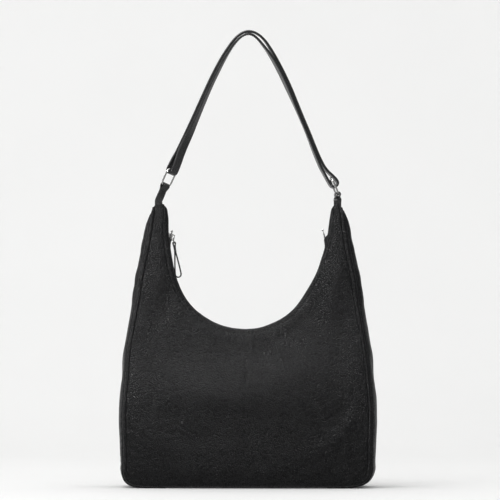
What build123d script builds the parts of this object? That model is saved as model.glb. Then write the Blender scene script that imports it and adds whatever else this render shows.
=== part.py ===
from build123d import *
import math
import os

# Zip-top hobo bag with two horns, a ring and leather tab at each horn and a doubled strap.
# Millimetres, +Z up, front faces -Y, right is +X, origin at the middle of the flat base.

BODY_H = 395.5          # height of the horn tips
SKIN = 2.0              # leather with its backing
GAP = 0.2               # space kept between separate soft pieces
LINING_T = 0.8          # lining cloth
LINING_IN = SKIN + 0.3  # outer face of the lining, in from the body's depth curve
BOARD_T = 1.5           # base stiffener

REACH_X = 200.0         # cutting solids reach past the body by these half sizes
REACH_Y = 70.0
FRONT_BACK = (("front", -1), ("back", 1))
RIGHT_LEFT = (("right", 1), ("left", -1))

# Body outline seen from the front, as (x, z). Left-hand tables are given with x
# positive and mirrored when used.
SIDE = [
    (175.0, 18.2), (177.1, 35.0), (178.6, 66.0), (179.9, 98.0), (179.2, 120.0),
    (176.4, 152.6), (172.9, 186.2), (167.3, 219.8), (160.3, 261.8), (156.1, 294.0),
    (149.1, 327.6), (142.1, 361.2), (133.6, 388.0)]
TIP_RIGHT = [(133.6, 388.0), (130.6, 393.6), (125.6, BODY_H), (120.6, 393.6), (117.6, 388.0)]
TIP_LEFT = [(133.6, 388.0), (130.6, 393.6), (124.6, BODY_H), (117.6, 393.6), (114.0, 388.0)]
# Swept neckline from each horn down to the same lowest point, a little left of the middle
SCOOP_RIGHT = [
    (117.6, 388.0), (115.6, 378.0), (112.8, 362.6), (111.3, 351.4), (109.1, 340.2),
    (106.1, 329.0), (102.5, 317.8), (98.9, 306.6), (94.1, 295.4), (88.0, 284.2),
    (81.3, 273.0), (74.1, 261.8), (65.3, 250.6), (52.1, 239.4), (31.2, 228.2),
    (14.0, 222.6), (-3.5, 221.0)]
SCOOP_LEFT = [
    (114.0, 388.0), (112.4, 378.0), (110.8, 362.6), (109.9, 351.4), (108.6, 340.2),
    (107.1, 329.0), (105.2, 317.8), (103.2, 306.6), (100.3, 295.4), (96.5, 284.2),
    (91.6, 273.0), (84.9, 261.8), (75.6, 250.6), (62.2, 239.4), (42.3, 228.2),
    (22.0, 222.7), (3.5, 221.0)]
# Body depth as (half depth, z)
DEPTH = [
    (50.0, 0.0), (54.5, 14.0), (57.0, 60.0), (53.0, 120.0), (42.5, 180.0),
    (33.0, 220.0), (25.0, 260.0), (18.6, 300.0), (13.0, 350.0), (5.5, 396.0)]

# Bottom corner arcs: x where the arc leaves the floor, then x and z of its middle point
OUTER_CORNER = (157.0, 170.4, 5.4)
INNER_CORNER = (156.5, 170.0, 5.6)

# Zip: one arc seen from the front. Angles are in degrees from +X towards +Z.
ZIP_Z = 326.4           # height of the arc's centre
ZIP_R = 110.4           # radius of the chain

os.makedirs("parts", exist_ok=True)


def save(name, shape):
    export_step(shape, "parts/" + name + ".step")


# ---------------------------------------------------------------- drawing helpers
def xz(x, z):
    return Vector(x, 0, z)


def spline(points):
    return Spline(*[xz(x, z) for x, z in points])


def line(start, end):
    return Line(xz(*start), xz(*end))


def arc(start, middle, end):
    return ThreePointArc(xz(*start), xz(*middle), xz(*end))


def mirror_points(points, x_side=-1):
    return [(x_side * x, z) for x, z in points]


def extrude_y(face, y_min, y_max):
    """Extrude a face drawn in the XZ plane so that it fills y_min to y_max."""
    return extrude(face.moved(Location((0, y_max, 0))), amount=y_max - y_min, dir=(0, -1, 0))


def extrude_half(face, y_near, y_far, y_side):
    """Extrude an XZ face on the front (-1) or back (1) side only."""
    return extrude_y(face, *sorted((y_side * y_near, y_side * y_far)))


def extrude_through(face):
    return extrude_y(face, -REACH_Y, REACH_Y)


# ---------------------------------------------------------------- body depth
def depth_curve(inset, y_side):
    return [Vector(0, y_side * (y - inset), z) for y, z in DEPTH]


def between_curves(first, second):
    face = make_face([Spline(*first), Line(first[-1], second[-1]),
                      Spline(*second), Line(second[0], first[0])])
    return extrude(face.moved(Location((-REACH_X, 0, 0))), amount=2 * REACH_X, dir=(1, 0, 0))


def depth_band(inset, thickness, y_side):
    """Layer that follows the front or back of the body, inset from its surface."""
    return between_curves(depth_curve(inset, y_side), depth_curve(inset + thickness, y_side))


def depth_core(inset):
    """Everything nearer the middle than the inset depth curves."""
    return between_curves(depth_curve(inset, -1), depth_curve(inset, 1))


# ---------------------------------------------------------------- leather body
GUSSET_END_X = 151.0    # where each gusset stops under the base


def body_outline():
    leave_x, middle_x, middle_z = OUTER_CORNER
    corner = [(leave_x, 0.0), (middle_x, middle_z), SIDE[0]]
    scoop = SCOOP_RIGHT + mirror_points(SCOOP_LEFT)[::-1][1:]
    return make_face([
        line((-leave_x, 0.0), (leave_x, 0.0)), arc(*corner), spline(SIDE),
        spline(TIP_RIGHT), spline(scoop), spline(mirror_points(TIP_LEFT)),
        spline(mirror_points(SIDE)), arc(*mirror_points(corner))])


def side_edge(offset, floor, corner, corner_pull, x_start, z_top, x_side):
    """Edges along the floor, round the corner and up the side, and their two ends."""
    leave_x, middle_x, middle_z = corner
    start, leave, middle = mirror_points(
        [(x_start, floor), (leave_x, floor),
         (middle_x - offset * corner_pull, middle_z + floor * 0.7)], x_side)
    side = mirror_points([(x - offset, z) for x, z in SIDE if z <= z_top], x_side)
    return [line(start, leave), arc(leave, middle, side[0]), spline(side)], start, side[-1]


def side_strip(outer, inner, inner_pull, x_start, z_top, x_side):
    """Strip from the base up the side; outer and inner are (side offset, floor height)."""
    outer_edges, outer_start, outer_top = side_edge(
        *outer, OUTER_CORNER, 1.5, x_start, z_top, x_side)
    inner_edges, inner_start, inner_top = side_edge(
        *inner, INNER_CORNER, inner_pull, x_start, z_top, x_side)
    caps = [line(outer_top, inner_top), line(inner_start, outer_start)]
    return extrude_through(make_face(outer_edges + inner_edges + caps))


def base_board():
    board = Pos(0, 0, SKIN + GAP + BOARD_T / 2) * Box(292, 88, BOARD_T)
    return fillet(board.edges().filter_by(Axis.Z), 6)


body = extrude_through(body_outline())
for name, y_side in FRONT_BACK:
    save(name + "_panel", body & depth_band(0, SKIN, y_side))

inside_panels = depth_core(SKIN + GAP)
for name, x_side in RIGHT_LEFT:
    gusset = side_strip((0.0, 0.0), (SKIN, SKIN), inner_pull=0.8,
                        x_start=GUSSET_END_X, z_top=388.0, x_side=x_side)
    save(name + "_gusset", gusset & inside_panels)

base = Pos(0, 0, SKIN / 2) * Box(2 * (GUSSET_END_X - GAP), 2 * REACH_Y, SKIN)
save("base_panel", base & inside_panels)
save("base_board", base_board())

# ---------------------------------------------------------------- lining
LINING_TOP = 330.0
LINING_SIDE_IN = 4.2    # front and back cloth, in from the side
LINING_FLOOR = (158.0, 5.2)
LINING_CORNER = (167.0, 9.5)
GUSSET_CLOTH_IN = SKIN + 1.0
GUSSET_CLOTH_FLOOR = 4.1
MOUTH_R = ZIP_R + 4.0


def lining_blank():
    """Front view of the lining, with the round mouth cut away."""
    side = [(x - LINING_SIDE_IN, z) for x, z in SIDE if 15 < z < LINING_TOP]
    floor, corner = LINING_FLOOR, LINING_CORNER
    left_side = mirror_points(side)
    left_floor, left_corner = mirror_points([floor, corner])
    face = make_face([
        line(left_floor, floor), line(floor, corner), line(corner, side[0]), spline(side),
        line(side[-1], left_side[-1]), spline(left_side),
        line(left_side[0], left_corner), line(left_corner, left_floor)])
    mouth_plane = Plane(origin=(0, 0, ZIP_Z), z_dir=(0, 1, 0))
    mouth = make_face(Edge.make_circle(MOUTH_R, mouth_plane))
    return extrude_through(face) - extrude_y(mouth, -80, 80)


def lining_gusset():
    right, left = [
        side_strip((GUSSET_CLOTH_IN, GUSSET_CLOTH_FLOOR),
                   (GUSSET_CLOTH_IN + LINING_T, GUSSET_CLOTH_FLOOR + LINING_T),
                   inner_pull=1.5, x_start=0.0, z_top=LINING_TOP, x_side=x_side)
        for _, x_side in RIGHT_LEFT]
    return (right + left) & depth_core(LINING_IN + LINING_T + 0.2)


def slip_pocket():
    blank = Pos(0, 0, 115) * Box(150, 200, 110)
    return blank & depth_band(LINING_IN + LINING_T + 0.3, LINING_T, 1)


lining = lining_blank()
for name, y_side in FRONT_BACK:
    save("lining_" + name, lining & depth_band(LINING_IN, LINING_T, y_side))
save("lining_gusset", lining_gusset())
save("slip_pocket", slip_pocket())

# ---------------------------------------------------------------- zip facings and tapes
FACING_END = 12.3       # degrees the facing arc runs on above the arc's centre height
TAPE_WIDE_END = FACING_END - 1.2
TAPE_END = 17.4
TAPE_Y = 3.4            # inner edge of each tape
# Straight facing pieces up the horns, as (x, z): edge near the mouth and edge near the side
HORN_NEAR = [(106.1, 349.6), (110.5, 359.0), (115.9, 383.0), (117.9, 390.5)]
HORN_FAR = [(107.5, 349.6), (111.9, 359.0), (117.3, 383.0), (119.3, 390.0)]


def arc_band(inner_r, outer_r, end_angle):
    """Band round the lower half of the zip arc, running end_angle past it at both ends."""
    first, middle, last = 180 - end_angle, 270.0, 360 + end_angle

    def point(radius, angle):
        turn = math.radians(angle)
        return radius * math.cos(turn), ZIP_Z + radius * math.sin(turn)

    return make_face([
        arc(point(inner_r, first), point(inner_r, middle), point(inner_r, last)),
        line(point(inner_r, last), point(outer_r, last)),
        arc(point(outer_r, last), point(outer_r, middle), point(outer_r, first)),
        line(point(outer_r, first), point(inner_r, first))])


def horn_face(x_side):
    points = mirror_points(HORN_NEAR + HORN_FAR[::-1], x_side)
    return make_face([line(start, end) for start, end in zip(points, points[1:] + points[:1])])


def zip_facing(y_side):
    band = arc_band(ZIP_R - 1.8, ZIP_R - 0.4, FACING_END)
    facing = extrude_half(band, 8.0, REACH_Y, y_side)
    for x_side in (1, -1):
        horn = horn_face(x_side)
        low = extrude_half(horn, 5.3, REACH_Y, y_side)
        # near the tips the two facings almost meet
        top = extrude_half(horn, 0.1, REACH_Y, y_side)
        top = top & (Pos(x_side * 115, 0, 391) * Box(40, 200, 50))
        facing = facing + low + top
    return facing & inside_panels


def zip_tape(y_side):
    """Wide tape with narrow tails that run on up the horns."""
    wide = arc_band(ZIP_R - 0.3, ZIP_R + 0.3, TAPE_WIDE_END)
    full = arc_band(ZIP_R - 0.3, ZIP_R + 0.3, TAPE_END)
    tape = extrude_half(wide, TAPE_Y, 12.0, y_side) + extrude_half(full, TAPE_Y, 5.1, y_side)
    return tape & depth_core(LINING_IN)


for name, y_side in FRONT_BACK:
    save("zip_facing_" + name, zip_facing(y_side))
    save("zip_tape_" + name, zip_tape(y_side))

# ---------------------------------------------------------------- zip teeth and stops
TOOTH_PITCH = 3.0       # on one tape
TOOTH_STEP = math.degrees(TOOTH_PITCH / ZIP_R)
TOOTH_Y = 1.9           # tooth centre off the middle of the chain
TEETH_SPAN = (165.0, 376.0)
FIRST_TOOTH = 165.2
TOP_STOP_ANGLE = 163.6
BOTTOM_STOP_ANGLE = 376.6 + 0.9


def zip_frame(angle):
    """Frame on the chain: x along the travel, y across the tapes, z out of the bag."""
    turn = math.radians(angle)
    cos, sin = math.cos(turn), math.sin(turn)
    return Location(Plane(origin=(ZIP_R * cos, 0, ZIP_Z + ZIP_R * sin),
                          x_dir=(-sin, 0, cos), z_dir=(-cos, 0, -sin)))


def zip_teeth():
    """Front and back rows, staggered by half a pitch."""
    tooth = Pos(0, TOOTH_Y, 0) * Box(1.3, 2.8, 2.4)
    tooth = fillet(tooth.edges().filter_by(Axis.X), 0.55)
    front, back = [], []
    for i in range(int((TEETH_SPAN[1] - TEETH_SPAN[0]) / TOOTH_STEP)):
        angle = FIRST_TOOTH + i * TOOTH_STEP
        back.append(zip_frame(angle) * tooth)
        front.append(zip_frame(angle + TOOTH_STEP / 2) * (Rot(0, 0, 180) * tooth))
    return Compound(children=front), Compound(children=back)


def zip_stops():
    """One stop on each tape at the left end and a single wide one at the right end."""
    top = fillet(Box(2.4, 2.8, 3.0).edges(), 0.5)
    bottom = fillet(Box(2.2, 6.6, 3.0).edges(), 0.5)
    stops = [zip_frame(TOP_STOP_ANGLE) * (Pos(0, y, 0) * top) for y in (TOOTH_Y, -TOOTH_Y)]
    stops.append(zip_frame(BOTTOM_STOP_ANGLE) * bottom)
    return Compound(children=stops)


teeth_front, teeth_back = zip_teeth()
save("zip_teeth_front", teeth_front)
save("zip_teeth_back", teeth_back)
save("zip_stops", zip_stops())

# ---------------------------------------------------------------- slider, bail and leather pull
SLIDER_ANGLE = 167.7    # slider's place on the arc, mouth shut
PIVOT_Z = 3.75          # bail pivot above the chain
BAIL_ANGLE = 280.0      # directions the bail and the pull hang in
PULL_ANGLE = 277.5
BAIL_L = 8.0
PULL_T = 4.6
# Tapered lengths as (start x, start radius, end x, end radius)
PULL_BODY = [(0, 2.1, 6.0, 1.35), (5.0, 1.35, 13.0, 1.35), (12.0, 1.35, 44.0, 4.6)]
PULL_HOLES = [(0, 0.80, 1.2, 0.72), (17.0, 0.5, 44.0, 3.3)]


def slider():
    plate = extrude(SlotOverall(11.0, 9.0), amount=1.2)
    plate = fillet(plate.edges(), 0.35)
    shape = Pos(0, 0, 1.6) * plate + Pos(0, 0, -2.8) * plate
    shape += Pos(-3.0, 0, 0) * Box(2.6, 0.8, 4.2)
    for y in (4.05, -4.05):
        for z in (1.35, -1.35):
            shape += Pos(0, y, z) * Box(5.4, 0.6, 1.3)
    bridge = Pos(0, 0, 4.1) * Box(8.6, 1.8, 3.4) - Pos(0, 0, PIVOT_Z) * Box(5.6, 3, 2.1)
    bridge = fillet(bridge.edges().filter_by(Axis.Y).sort_by(Axis.Z)[-2:], 1.0)
    return shape + bridge


def hanging_frame(origin, angle):
    """Frame hanging from a point: x down the piece, y towards the back, z to the side."""
    turn = math.radians(angle)
    return Location(Plane(origin=(origin.X, 0, origin.Z),
                          x_dir=(math.cos(turn), 0, math.sin(turn)),
                          z_dir=(-math.sin(turn), 0, math.cos(turn))))


def wire_loop(length, width, corner_r, wire_r):
    """Closed wire ring in its own XY plane; x is the long way, centred."""
    path = RectangleRounded(length, width, corner_r).wire()
    section = Plane(origin=path @ 0, z_dir=path % 0) * Circle(wire_r)
    return sweep(section, path=path)


def taper(start_x, start_r, end_x, end_r):
    """XZ outline of two circles on the x axis and their common tangents."""
    sin = (start_r - end_r) / (end_x - start_x)
    cos = math.sqrt(1 - sin * sin)
    start = (start_x + start_r * sin, start_r * cos)
    end = (end_x + end_r * sin, end_r * cos)
    start_low, end_low = (start[0], -start[1]), (end[0], -end[1])
    return make_face([
        line(start, end), arc(end, (end_x + end_r, 0), end_low),
        line(end_low, start_low), arc(start_low, (start_x - start_r, 0), start)])


def fused_tapers(rows, half_depth):
    first, *others = [extrude_y(taper(*row), -half_depth, half_depth) for row in rows]
    for other in others:
        first = first + other
    return first


slider_frame = zip_frame(SLIDER_ANGLE)
save("zip_slider", slider_frame * slider())

bail_frame = hanging_frame((slider_frame * Pos(0, 0, PIVOT_Z)).position, BAIL_ANGLE)
save("zip_puller", bail_frame * (Pos(BAIL_L / 2, 0, 0) * wire_loop(BAIL_L, 6.4, 1.2, 0.65)))

pull_frame = hanging_frame((bail_frame * Pos(BAIL_L, 0, 0)).position, PULL_ANGLE)
pull = fused_tapers(PULL_BODY, PULL_T / 2) - fused_tapers(PULL_HOLES, 5)
save("zip_pull", pull_frame * pull)

# ---------------------------------------------------------------- rings and tabs
RING_WIRE_R = 1.4
RING_L = 25.2           # wire centre to wire centre, long way
RING_W = 18.0           # and short way
TAB_W = 9.6
TAB_T = 5.0             # thickness at the ring
TAB_BEND_R = 1.6        # rounded end at the bend line
TAB_BEND_Z = 401.0      # height of the line the tabs bend along


def ring_plane(x, z, tilt, yaw):
    """Plane of a ring: x up its long axis, y along its short bars, z its normal.

    tilt leans the long axis from +Z towards +X; yaw turns the bars towards +Y."""
    tilt, yaw = math.radians(tilt), math.radians(yaw)
    up = Vector(math.sin(tilt), 0, math.cos(tilt))
    across = Vector(math.cos(tilt), 0, -math.sin(tilt))
    bar = across * math.cos(yaw) + Vector(0, 1, 0) * math.sin(yaw)
    return Plane(origin=(x, 0, z), x_dir=up, z_dir=up.cross(bar))


def tab(plane, root_x, neck):
    """Leather fold round the ring's lower bar, with a strip down to the bend line."""
    low = plane.from_local_coords(Vector(-RING_L / 2, 0, 0))
    down = Vector(root_x - low.X, 0, TAB_BEND_Z - low.Z)
    down = down / down.length
    normal = down.cross(plane.y_dir)
    normal = normal / normal.length
    width_dir = down.cross(normal)
    fold = Circle(4.1) + Pos(neck / 2, 0) * Rectangle(neck, TAB_T)
    fold = extrude(fold - Circle(2.6), amount=TAB_W / 2, both=True)
    fold = Plane(origin=low, x_dir=down, z_dir=width_dir) * fold
    upper = Plane(origin=low + down * (neck - 0.3), x_dir=width_dir, z_dir=down)
    lower = Plane(origin=(root_x, 0, TAB_BEND_Z), x_dir=(1, 0, 0), z_dir=(0, 0, -1))
    strip = loft([upper * Rectangle(TAB_W, TAB_T),
                  lower * Rectangle(TAB_W, 2 * TAB_BEND_R)], ruled=True)
    end = Plane(origin=(root_x - TAB_W / 2, 0, TAB_BEND_Z), z_dir=(1, 0, 0))
    return fold + strip + extrude(end * Circle(TAB_BEND_R), amount=TAB_W)


def tab_root(root_x):
    """Sewn end of the tab inside the horn."""
    root = Pos(root_x, 0, 385.5) * Box(8.0, 2.8, 17.0)
    return fillet(root.edges().filter_by(Axis.Z), 0.9)


# name, ring plane, x of the tab root, length of the tab's neck
for name, plane, root_x, neck in (
        ("left", ring_plane(x=-110.2, z=433.3, tilt=25.0, yaw=50.0), -124.6, 5.0),
        ("right", ring_plane(x=121.1, z=421.0, tilt=-22.9, yaw=102.0), 126.0, 4.3)):
    save(name + "_ring", plane * wire_loop(RING_L, RING_W, 7.0, RING_WIRE_R))
    save(name + "_tab", tab(plane, root_x, neck))
    save(name + "_tab_root", tab_root(root_x))

# ---------------------------------------------------------------- strap: two strands
STRAP_W = 13.6
STRAP_T = 3.4
STRAP_TAIL = 5.0        # outer strand's return past each ring fold
LAID = STRAP_T / 2 + 0.06   # half distance between centres of strands laid together
# Centre line between the strands from the left ring over the top to the right ring:
# x, z, half distance between strand centres, twist in degrees
STRAP_LINE = [
    (-105.5, 443.1, 4.6, 40), (-102.6, 449.7, 4.5, 40), (-99.0, 458.0, 3.6, 40),
    (-95.6, 466.0, 2.4, 39), (-91.8, 475.5, LAID, 36), (-84.0, 494.0, LAID, 27),
    (-75.6, 513.8, LAID, 18), (-66.6, 534.8, LAID, 14), (-57.4, 555.8, LAID, 12),
    (-51.6, 568.5, LAID, 11), (-45.5, 581.0, LAID, 10), (-36.7, 597.8, LAID, 6),
    (-28.4, 611.8, LAID, 3), (-21.0, 622.3, LAID, 1), (-14.0, 629.9, LAID, 0),
    (-7.0, 634.6, LAID, 0), (0.0, 636.2, LAID, 0), (7.0, 634.6, LAID + 0.3, 0),
    (14.0, 629.9, LAID + 0.9, 1), (21.0, 622.3, LAID + 1.2, 4), (28.4, 611.8, LAID + 0.8, 9),
    (36.7, 597.8, LAID + 0.2, 16), (45.5, 581.0, LAID, 19), (57.4, 555.8, LAID, 17),
    (66.6, 534.8, LAID, 10), (75.6, 513.8, LAID, 6), (84.5, 492.8, LAID, 7),
    (93.4, 471.8, LAID, 11), (99.2, 459.0, LAID + 0.1, 12), (104.2, 448.6, LAID + 0.5, 12),
    (109.6, 440.0, 3.0, 12), (115.6, 432.2, 4.6, 12), (120.6, 425.2, 5.4, 12)]


def strap_frames():
    """Centre, tangent, twisted normal, width direction and half distance per station."""
    frames = []
    for i, (x, z, half_gap, twist) in enumerate(STRAP_LINE):
        before = STRAP_LINE[max(0, i - 1)]
        after = STRAP_LINE[min(len(STRAP_LINE) - 1, i + 1)]
        tangent = Vector(after[0] - before[0], 0, after[1] - before[1])
        tangent = tangent / tangent.length
        outward = Vector(-tangent.Z, 0, tangent.X)
        cos, sin = math.cos(math.radians(twist)), math.sin(math.radians(twist))
        normal = outward * cos + Vector(0, 1, 0) * sin
        width_dir = Vector(0, 1, 0) * cos - outward * sin
        frames.append((xz(x, z), tangent, normal, width_dir, half_gap))
    return frames


def ring_fold(frame, direction):
    """Sections from the tail round the ring; direction is the fold's way along the tangent."""
    centre, tangent, normal, width_dir, half_gap = frame
    away = tangent * direction
    tail = centre - away * STRAP_TAIL - normal * half_gap
    sections = [(tail, normal * -1.0, width_dir)]
    for angle in range(-90, 61, 30):
        turn = math.radians(angle)
        radial = normal * math.sin(turn) + away * math.cos(turn)
        sections.append((centre + radial * half_gap, radial, width_dir))
    return sections


def strand(sections):
    """Ruled loft through rectangles given by centre, thickness and width directions."""
    wires = []
    for centre, normal, width_dir in sections:
        thick, wide = normal * (STRAP_T / 2), width_dir * (STRAP_W / 2)
        wires.append(Wire.make_polygon(
            [centre + thick + wide, centre + thick - wide,
             centre - thick - wide, centre - thick + wide], close=True))
    return Solid.make_loft(wires, ruled=True)


def strand_sections(frames, direction):
    """Sections outside (1) or inside (-1) the centre line."""
    return [(centre + normal * (direction * half_gap), normal, width_dir)
            for centre, _, normal, width_dir, half_gap in frames]


frames = strap_frames()
save("strap_outer", strand(ring_fold(frames[0], -1) + strand_sections(frames, 1)
                           + ring_fold(frames[-1], 1)[::-1]))
save("strap_inner", strand(strand_sections(frames[1:-1], -1)))
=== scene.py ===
"""A soft leather shoulder bag with a scooped, zipped mouth and a looped strap.

The bag stands on z = 0. X runs to the right, the front faces -Y and Z is up; the middle plane
of the bag is y = 0. Shapes are worked out in millimetres and scaled to metres in make_object.
The two top corners of the bag, where the strap tabs enter, are called horns.
"""
import math
import bpy
import bmesh
import numpy as np
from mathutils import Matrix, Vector, noise
from mathutils.bvhtree import BVHTree


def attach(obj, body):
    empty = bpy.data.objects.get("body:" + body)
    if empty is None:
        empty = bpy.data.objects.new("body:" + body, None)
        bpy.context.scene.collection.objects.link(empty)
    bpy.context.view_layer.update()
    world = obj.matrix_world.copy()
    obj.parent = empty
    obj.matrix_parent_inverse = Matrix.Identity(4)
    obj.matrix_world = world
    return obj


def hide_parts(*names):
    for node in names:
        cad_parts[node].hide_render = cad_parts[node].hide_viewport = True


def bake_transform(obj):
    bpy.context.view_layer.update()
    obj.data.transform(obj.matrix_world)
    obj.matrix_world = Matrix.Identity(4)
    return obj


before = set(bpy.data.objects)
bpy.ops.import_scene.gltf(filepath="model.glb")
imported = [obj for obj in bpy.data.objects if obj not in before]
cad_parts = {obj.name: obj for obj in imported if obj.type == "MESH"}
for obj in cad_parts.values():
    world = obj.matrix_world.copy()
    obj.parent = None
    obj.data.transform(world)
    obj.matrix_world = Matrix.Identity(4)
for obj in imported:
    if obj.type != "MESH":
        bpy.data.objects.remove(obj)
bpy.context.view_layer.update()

MM = 0.001
RIGHT, LEFT = 1, -1      # sign of x
FRONT, BACK = -1, 1      # sign of y


# ------------------------------------------------------------------ numbers and curves
def arr(values):
    return np.asarray(values, float)


def clamp(value):
    return np.clip(value, 0, 1)


def ease(value):
    """Smooth step from 0 to 1."""
    value = clamp(value)
    return value * value * (3 - 2 * value)


def bell(distance, radius):
    return np.exp(-(distance / radius) ** 2)


def spot(x, z, middle_x, middle_z, radius_x, radius_z):
    """Soft oval mask, 1 at its middle."""
    return bell(x - middle_x, radius_x) * bell(z - middle_z, radius_z)


def ripple(distance, wavelength, phase):
    return np.sin(distance * 2 * np.pi / wavelength + phase)


def unit(vectors):
    size = np.linalg.norm(vectors, axis=-1, keepdims=True)
    return vectors / np.maximum(size, 1e-12)


def run_length(points):
    """Distance along a polyline at each of its points."""
    return np.r_[0, np.cumsum(np.linalg.norm(np.diff(points, axis=0), axis=1))]


def interp_rows(at, stops, rows):
    """Linear interpolation of every column of rows."""
    return np.stack([np.interp(at, stops, column) for column in rows.T], -1)


def smooth_curve(points, count):
    """Even samples along a cubic through points (chord-length parameter)."""
    points = arr(points)
    stops = run_length(points)
    gap = np.diff(stops)[:, None]
    slope = np.diff(points, axis=0) / gap
    tangent = np.empty_like(points)
    tangent[0], tangent[-1] = slope[0], slope[-1]
    tangent[1:-1] = (slope[:-1] * gap[1:] + slope[1:] * gap[:-1]) / (gap[:-1] + gap[1:])
    fine = np.linspace(0, stops[-1], count * 8)
    i = np.clip(np.searchsorted(stops, fine, side="right") - 1, 0, len(points) - 2)
    span = gap[i]
    x = (fine - stops[i])[:, None] / span
    curve = ((2 * x**3 - 3 * x**2 + 1) * points[i]
             + (x**3 - 2 * x**2 + x) * span * tangent[i]
             + (-2 * x**3 + 3 * x**2) * points[i + 1]
             + (x**3 - x**2) * span * tangent[i + 1])
    length = run_length(curve)
    return interp_rows(np.linspace(0, length[-1], count), length, curve)


class Along:
    """A curve that can be read at any fraction of its length."""
    def __init__(self, points, count=800):
        self.points = smooth_curve(points, count)
        self.fractions = np.linspace(0, 1, count)

    def __call__(self, fraction):
        return interp_rows(clamp(fraction), self.fractions, self.points)


def profile(rows):
    """Smooth value(z) from (z, value) rows."""
    curve = smooth_curve(sorted(rows), 400)
    return lambda z: np.interp(z, curve[:, 0], curve[:, 1])


def fbm(points, scale, seed, octaves):
    """Layered noise at an array of points, features about scale mm wide."""
    flat = points.reshape(-1, 3)
    total = np.zeros(len(flat))
    height, frequency = 1.0, 1.0 / scale
    for _ in range(octaves):
        total += height * arr([noise.noise(Vector((
            x * frequency + seed, y * frequency + seed * 0.7, z * frequency - seed)))
            for x, y, z in flat])
        height *= 0.5
        frequency *= 2.03
    return total.reshape(points.shape[:-1])


# ------------------------------------------------------------------ the bag's outline, mm
# (height z, half width of the bag)
half_width = profile([
    (0.4, 162), (4, 169.5), (9.5, 172.6), (18.2, 175.0), (35.0, 177.1), (66.0, 178.6),
    (98.0, 179.9), (120.0, 179.2), (152.6, 176.4), (186.2, 172.9), (219.8, 167.3),
    (261.8, 160.3), (294.0, 156.1), (327.6, 149.1), (361.2, 142.1), (388.0, 133.2), (396, 129)])
# (height z, how far the panel seam lies inside the half width)
seam_inset = profile([
    (0, 4.2), (20, 4.6), (60, 6.0), (120, 6.6), (200, 6.8), (260, 6.6), (320, 6.2),
    (360, 4.8), (388, 2.0), (396, 1.0)])
# (height z, half depth of the bag at its middle)
half_depth = profile([
    (0, 50.0), (5, 54.0), (14, 55.8), (40, 56.8), (70, 57.0), (98, 56.7), (125, 55.4),
    (138, 53.6), (152, 50.9), (180, 43.2), (200, 38.0), (220, 32.8), (260, 24.4),
    (300, 18.6), (350, 13.0), (388, 7.6), (396, 6.0)])
# (height z, half depth of the bag at the seams)
seam_depth = profile([
    (0, 48.6), (14, 49.8), (60, 51.0), (120, 47.0), (180, 37.8), (220, 30.2), (260, 23.2),
    (300, 17.3), (350, 11.8), (388, 6.6), (396, 5.2)])
SEAM_HEIGHTS = np.array([388, 375, 361, 344, 327, 310, 294, 278, 262, 240, 220, 203, 186, 169,
                         152, 136, 120, 98, 80, 66, 50, 35])
# (distance from the middle, z): the seam round the lower corner to the middle of the base
CORNER = {
    RIGHT: [(172.2, 26.0), (170.8, 20.0), (167.8, 14.2), (162.3, 10.0), (153.5, 6.8), (142, 5.0),
            (128, 4.3), (110, 4.0), (60, 4.0), (0.0, 4.0)],
    LEFT: [(169.9, 26.0), (169.2, 20.0), (166.9, 13.6), (162.2, 9.0), (155.0, 6.2), (145, 4.8),
           (130, 4.2), (110, 4.0), (60, 4.0), (0.0, 4.0)]}
# (distance from the middle, z): each half of the mouth, from the horn to the middle
MOUTH = {
    RIGHT: [(117.6, 388.0), (115.6, 378.0), (112.8, 362.6), (111.3, 351.4), (109.1, 340.2),
            (106.1, 329.0), (102.5, 317.8), (98.9, 306.6), (94.1, 295.4), (88.0, 284.2),
            (81.3, 273.0), (74.1, 261.8), (65.3, 250.6), (52.1, 239.4), (31.2, 228.6),
            (14.0, 223.0), (-3.5, 221.3)],
    LEFT: [(114.0, 388.0), (112.4, 378.0), (110.8, 362.6), (109.9, 351.4), (108.6, 340.2),
           (107.1, 329.0), (105.2, 317.8), (103.2, 306.6), (100.3, 295.4), (96.5, 284.2),
           (91.6, 273.0), (84.9, 261.8), (75.6, 250.6), (62.2, 239.8), (42.3, 228.8),
           (22.0, 223.1), (3.5, 221.3)]}
# (distance from the middle, z): the top of each horn, from the mouth to the seam
TIP = {
    RIGHT: [(117.6, 388.0), (119.0, 392.0), (121.8, 395.4), (125.6, 396.8), (129.4, 395.4),
            (131.8, 391.8), (133.2, 388.0)],
    LEFT: [(114.0, 388.0), (115.2, 391.6), (118.8, 395.6), (124.6, 397.0), (130.2, 395.6),
           (133.0, 391.8), (133.4, 388.0)]}
LIP_OFFSET = 2.7         # from the mouth's outline to the middle line of the turned lip


def lean(side, z):
    """The right horn leans out; the lower left side hangs in."""
    if side == RIGHT:
        return 1.0 * ease((z - 345) / 35)
    return -2.6 * ease((200 - z) / 60)


def seam_points(side):
    upper = [(float(half_width(z) - seam_inset(z) + lean(side, z)), float(z))
             for z in SEAM_HEIGHTS]
    return upper + CORNER[side]


def lip_points(side):
    """Middle line of the lip, moved off the mouth's outline into the panel."""
    curve = smooth_curve(MOUTH[side], 70)
    tangent = unit(np.gradient(curve, axis=0))
    normal = np.stack([-tangent[:, 1], tangent[:, 0]], 1)
    curve = curve + normal * (LIP_OFFSET * ease((390 - curve[:, 1:2]) / 34))
    if side == RIGHT:
        curve[:, 0] += lean(RIGHT, curve[:, 1])
    return curve


TIP[RIGHT] = [(x + float(lean(RIGHT, z)), z) for x, z in TIP[RIGHT]]
SEAM_CURVE = {side: Along(seam_points(side)) for side in (RIGHT, LEFT)}
LIP_CURVE = {side: Along(lip_points(side)) for side in (RIGHT, LEFT)}
TIP_CURVE = {side: Along(TIP[side]) for side in (RIGHT, LEFT)}


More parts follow.
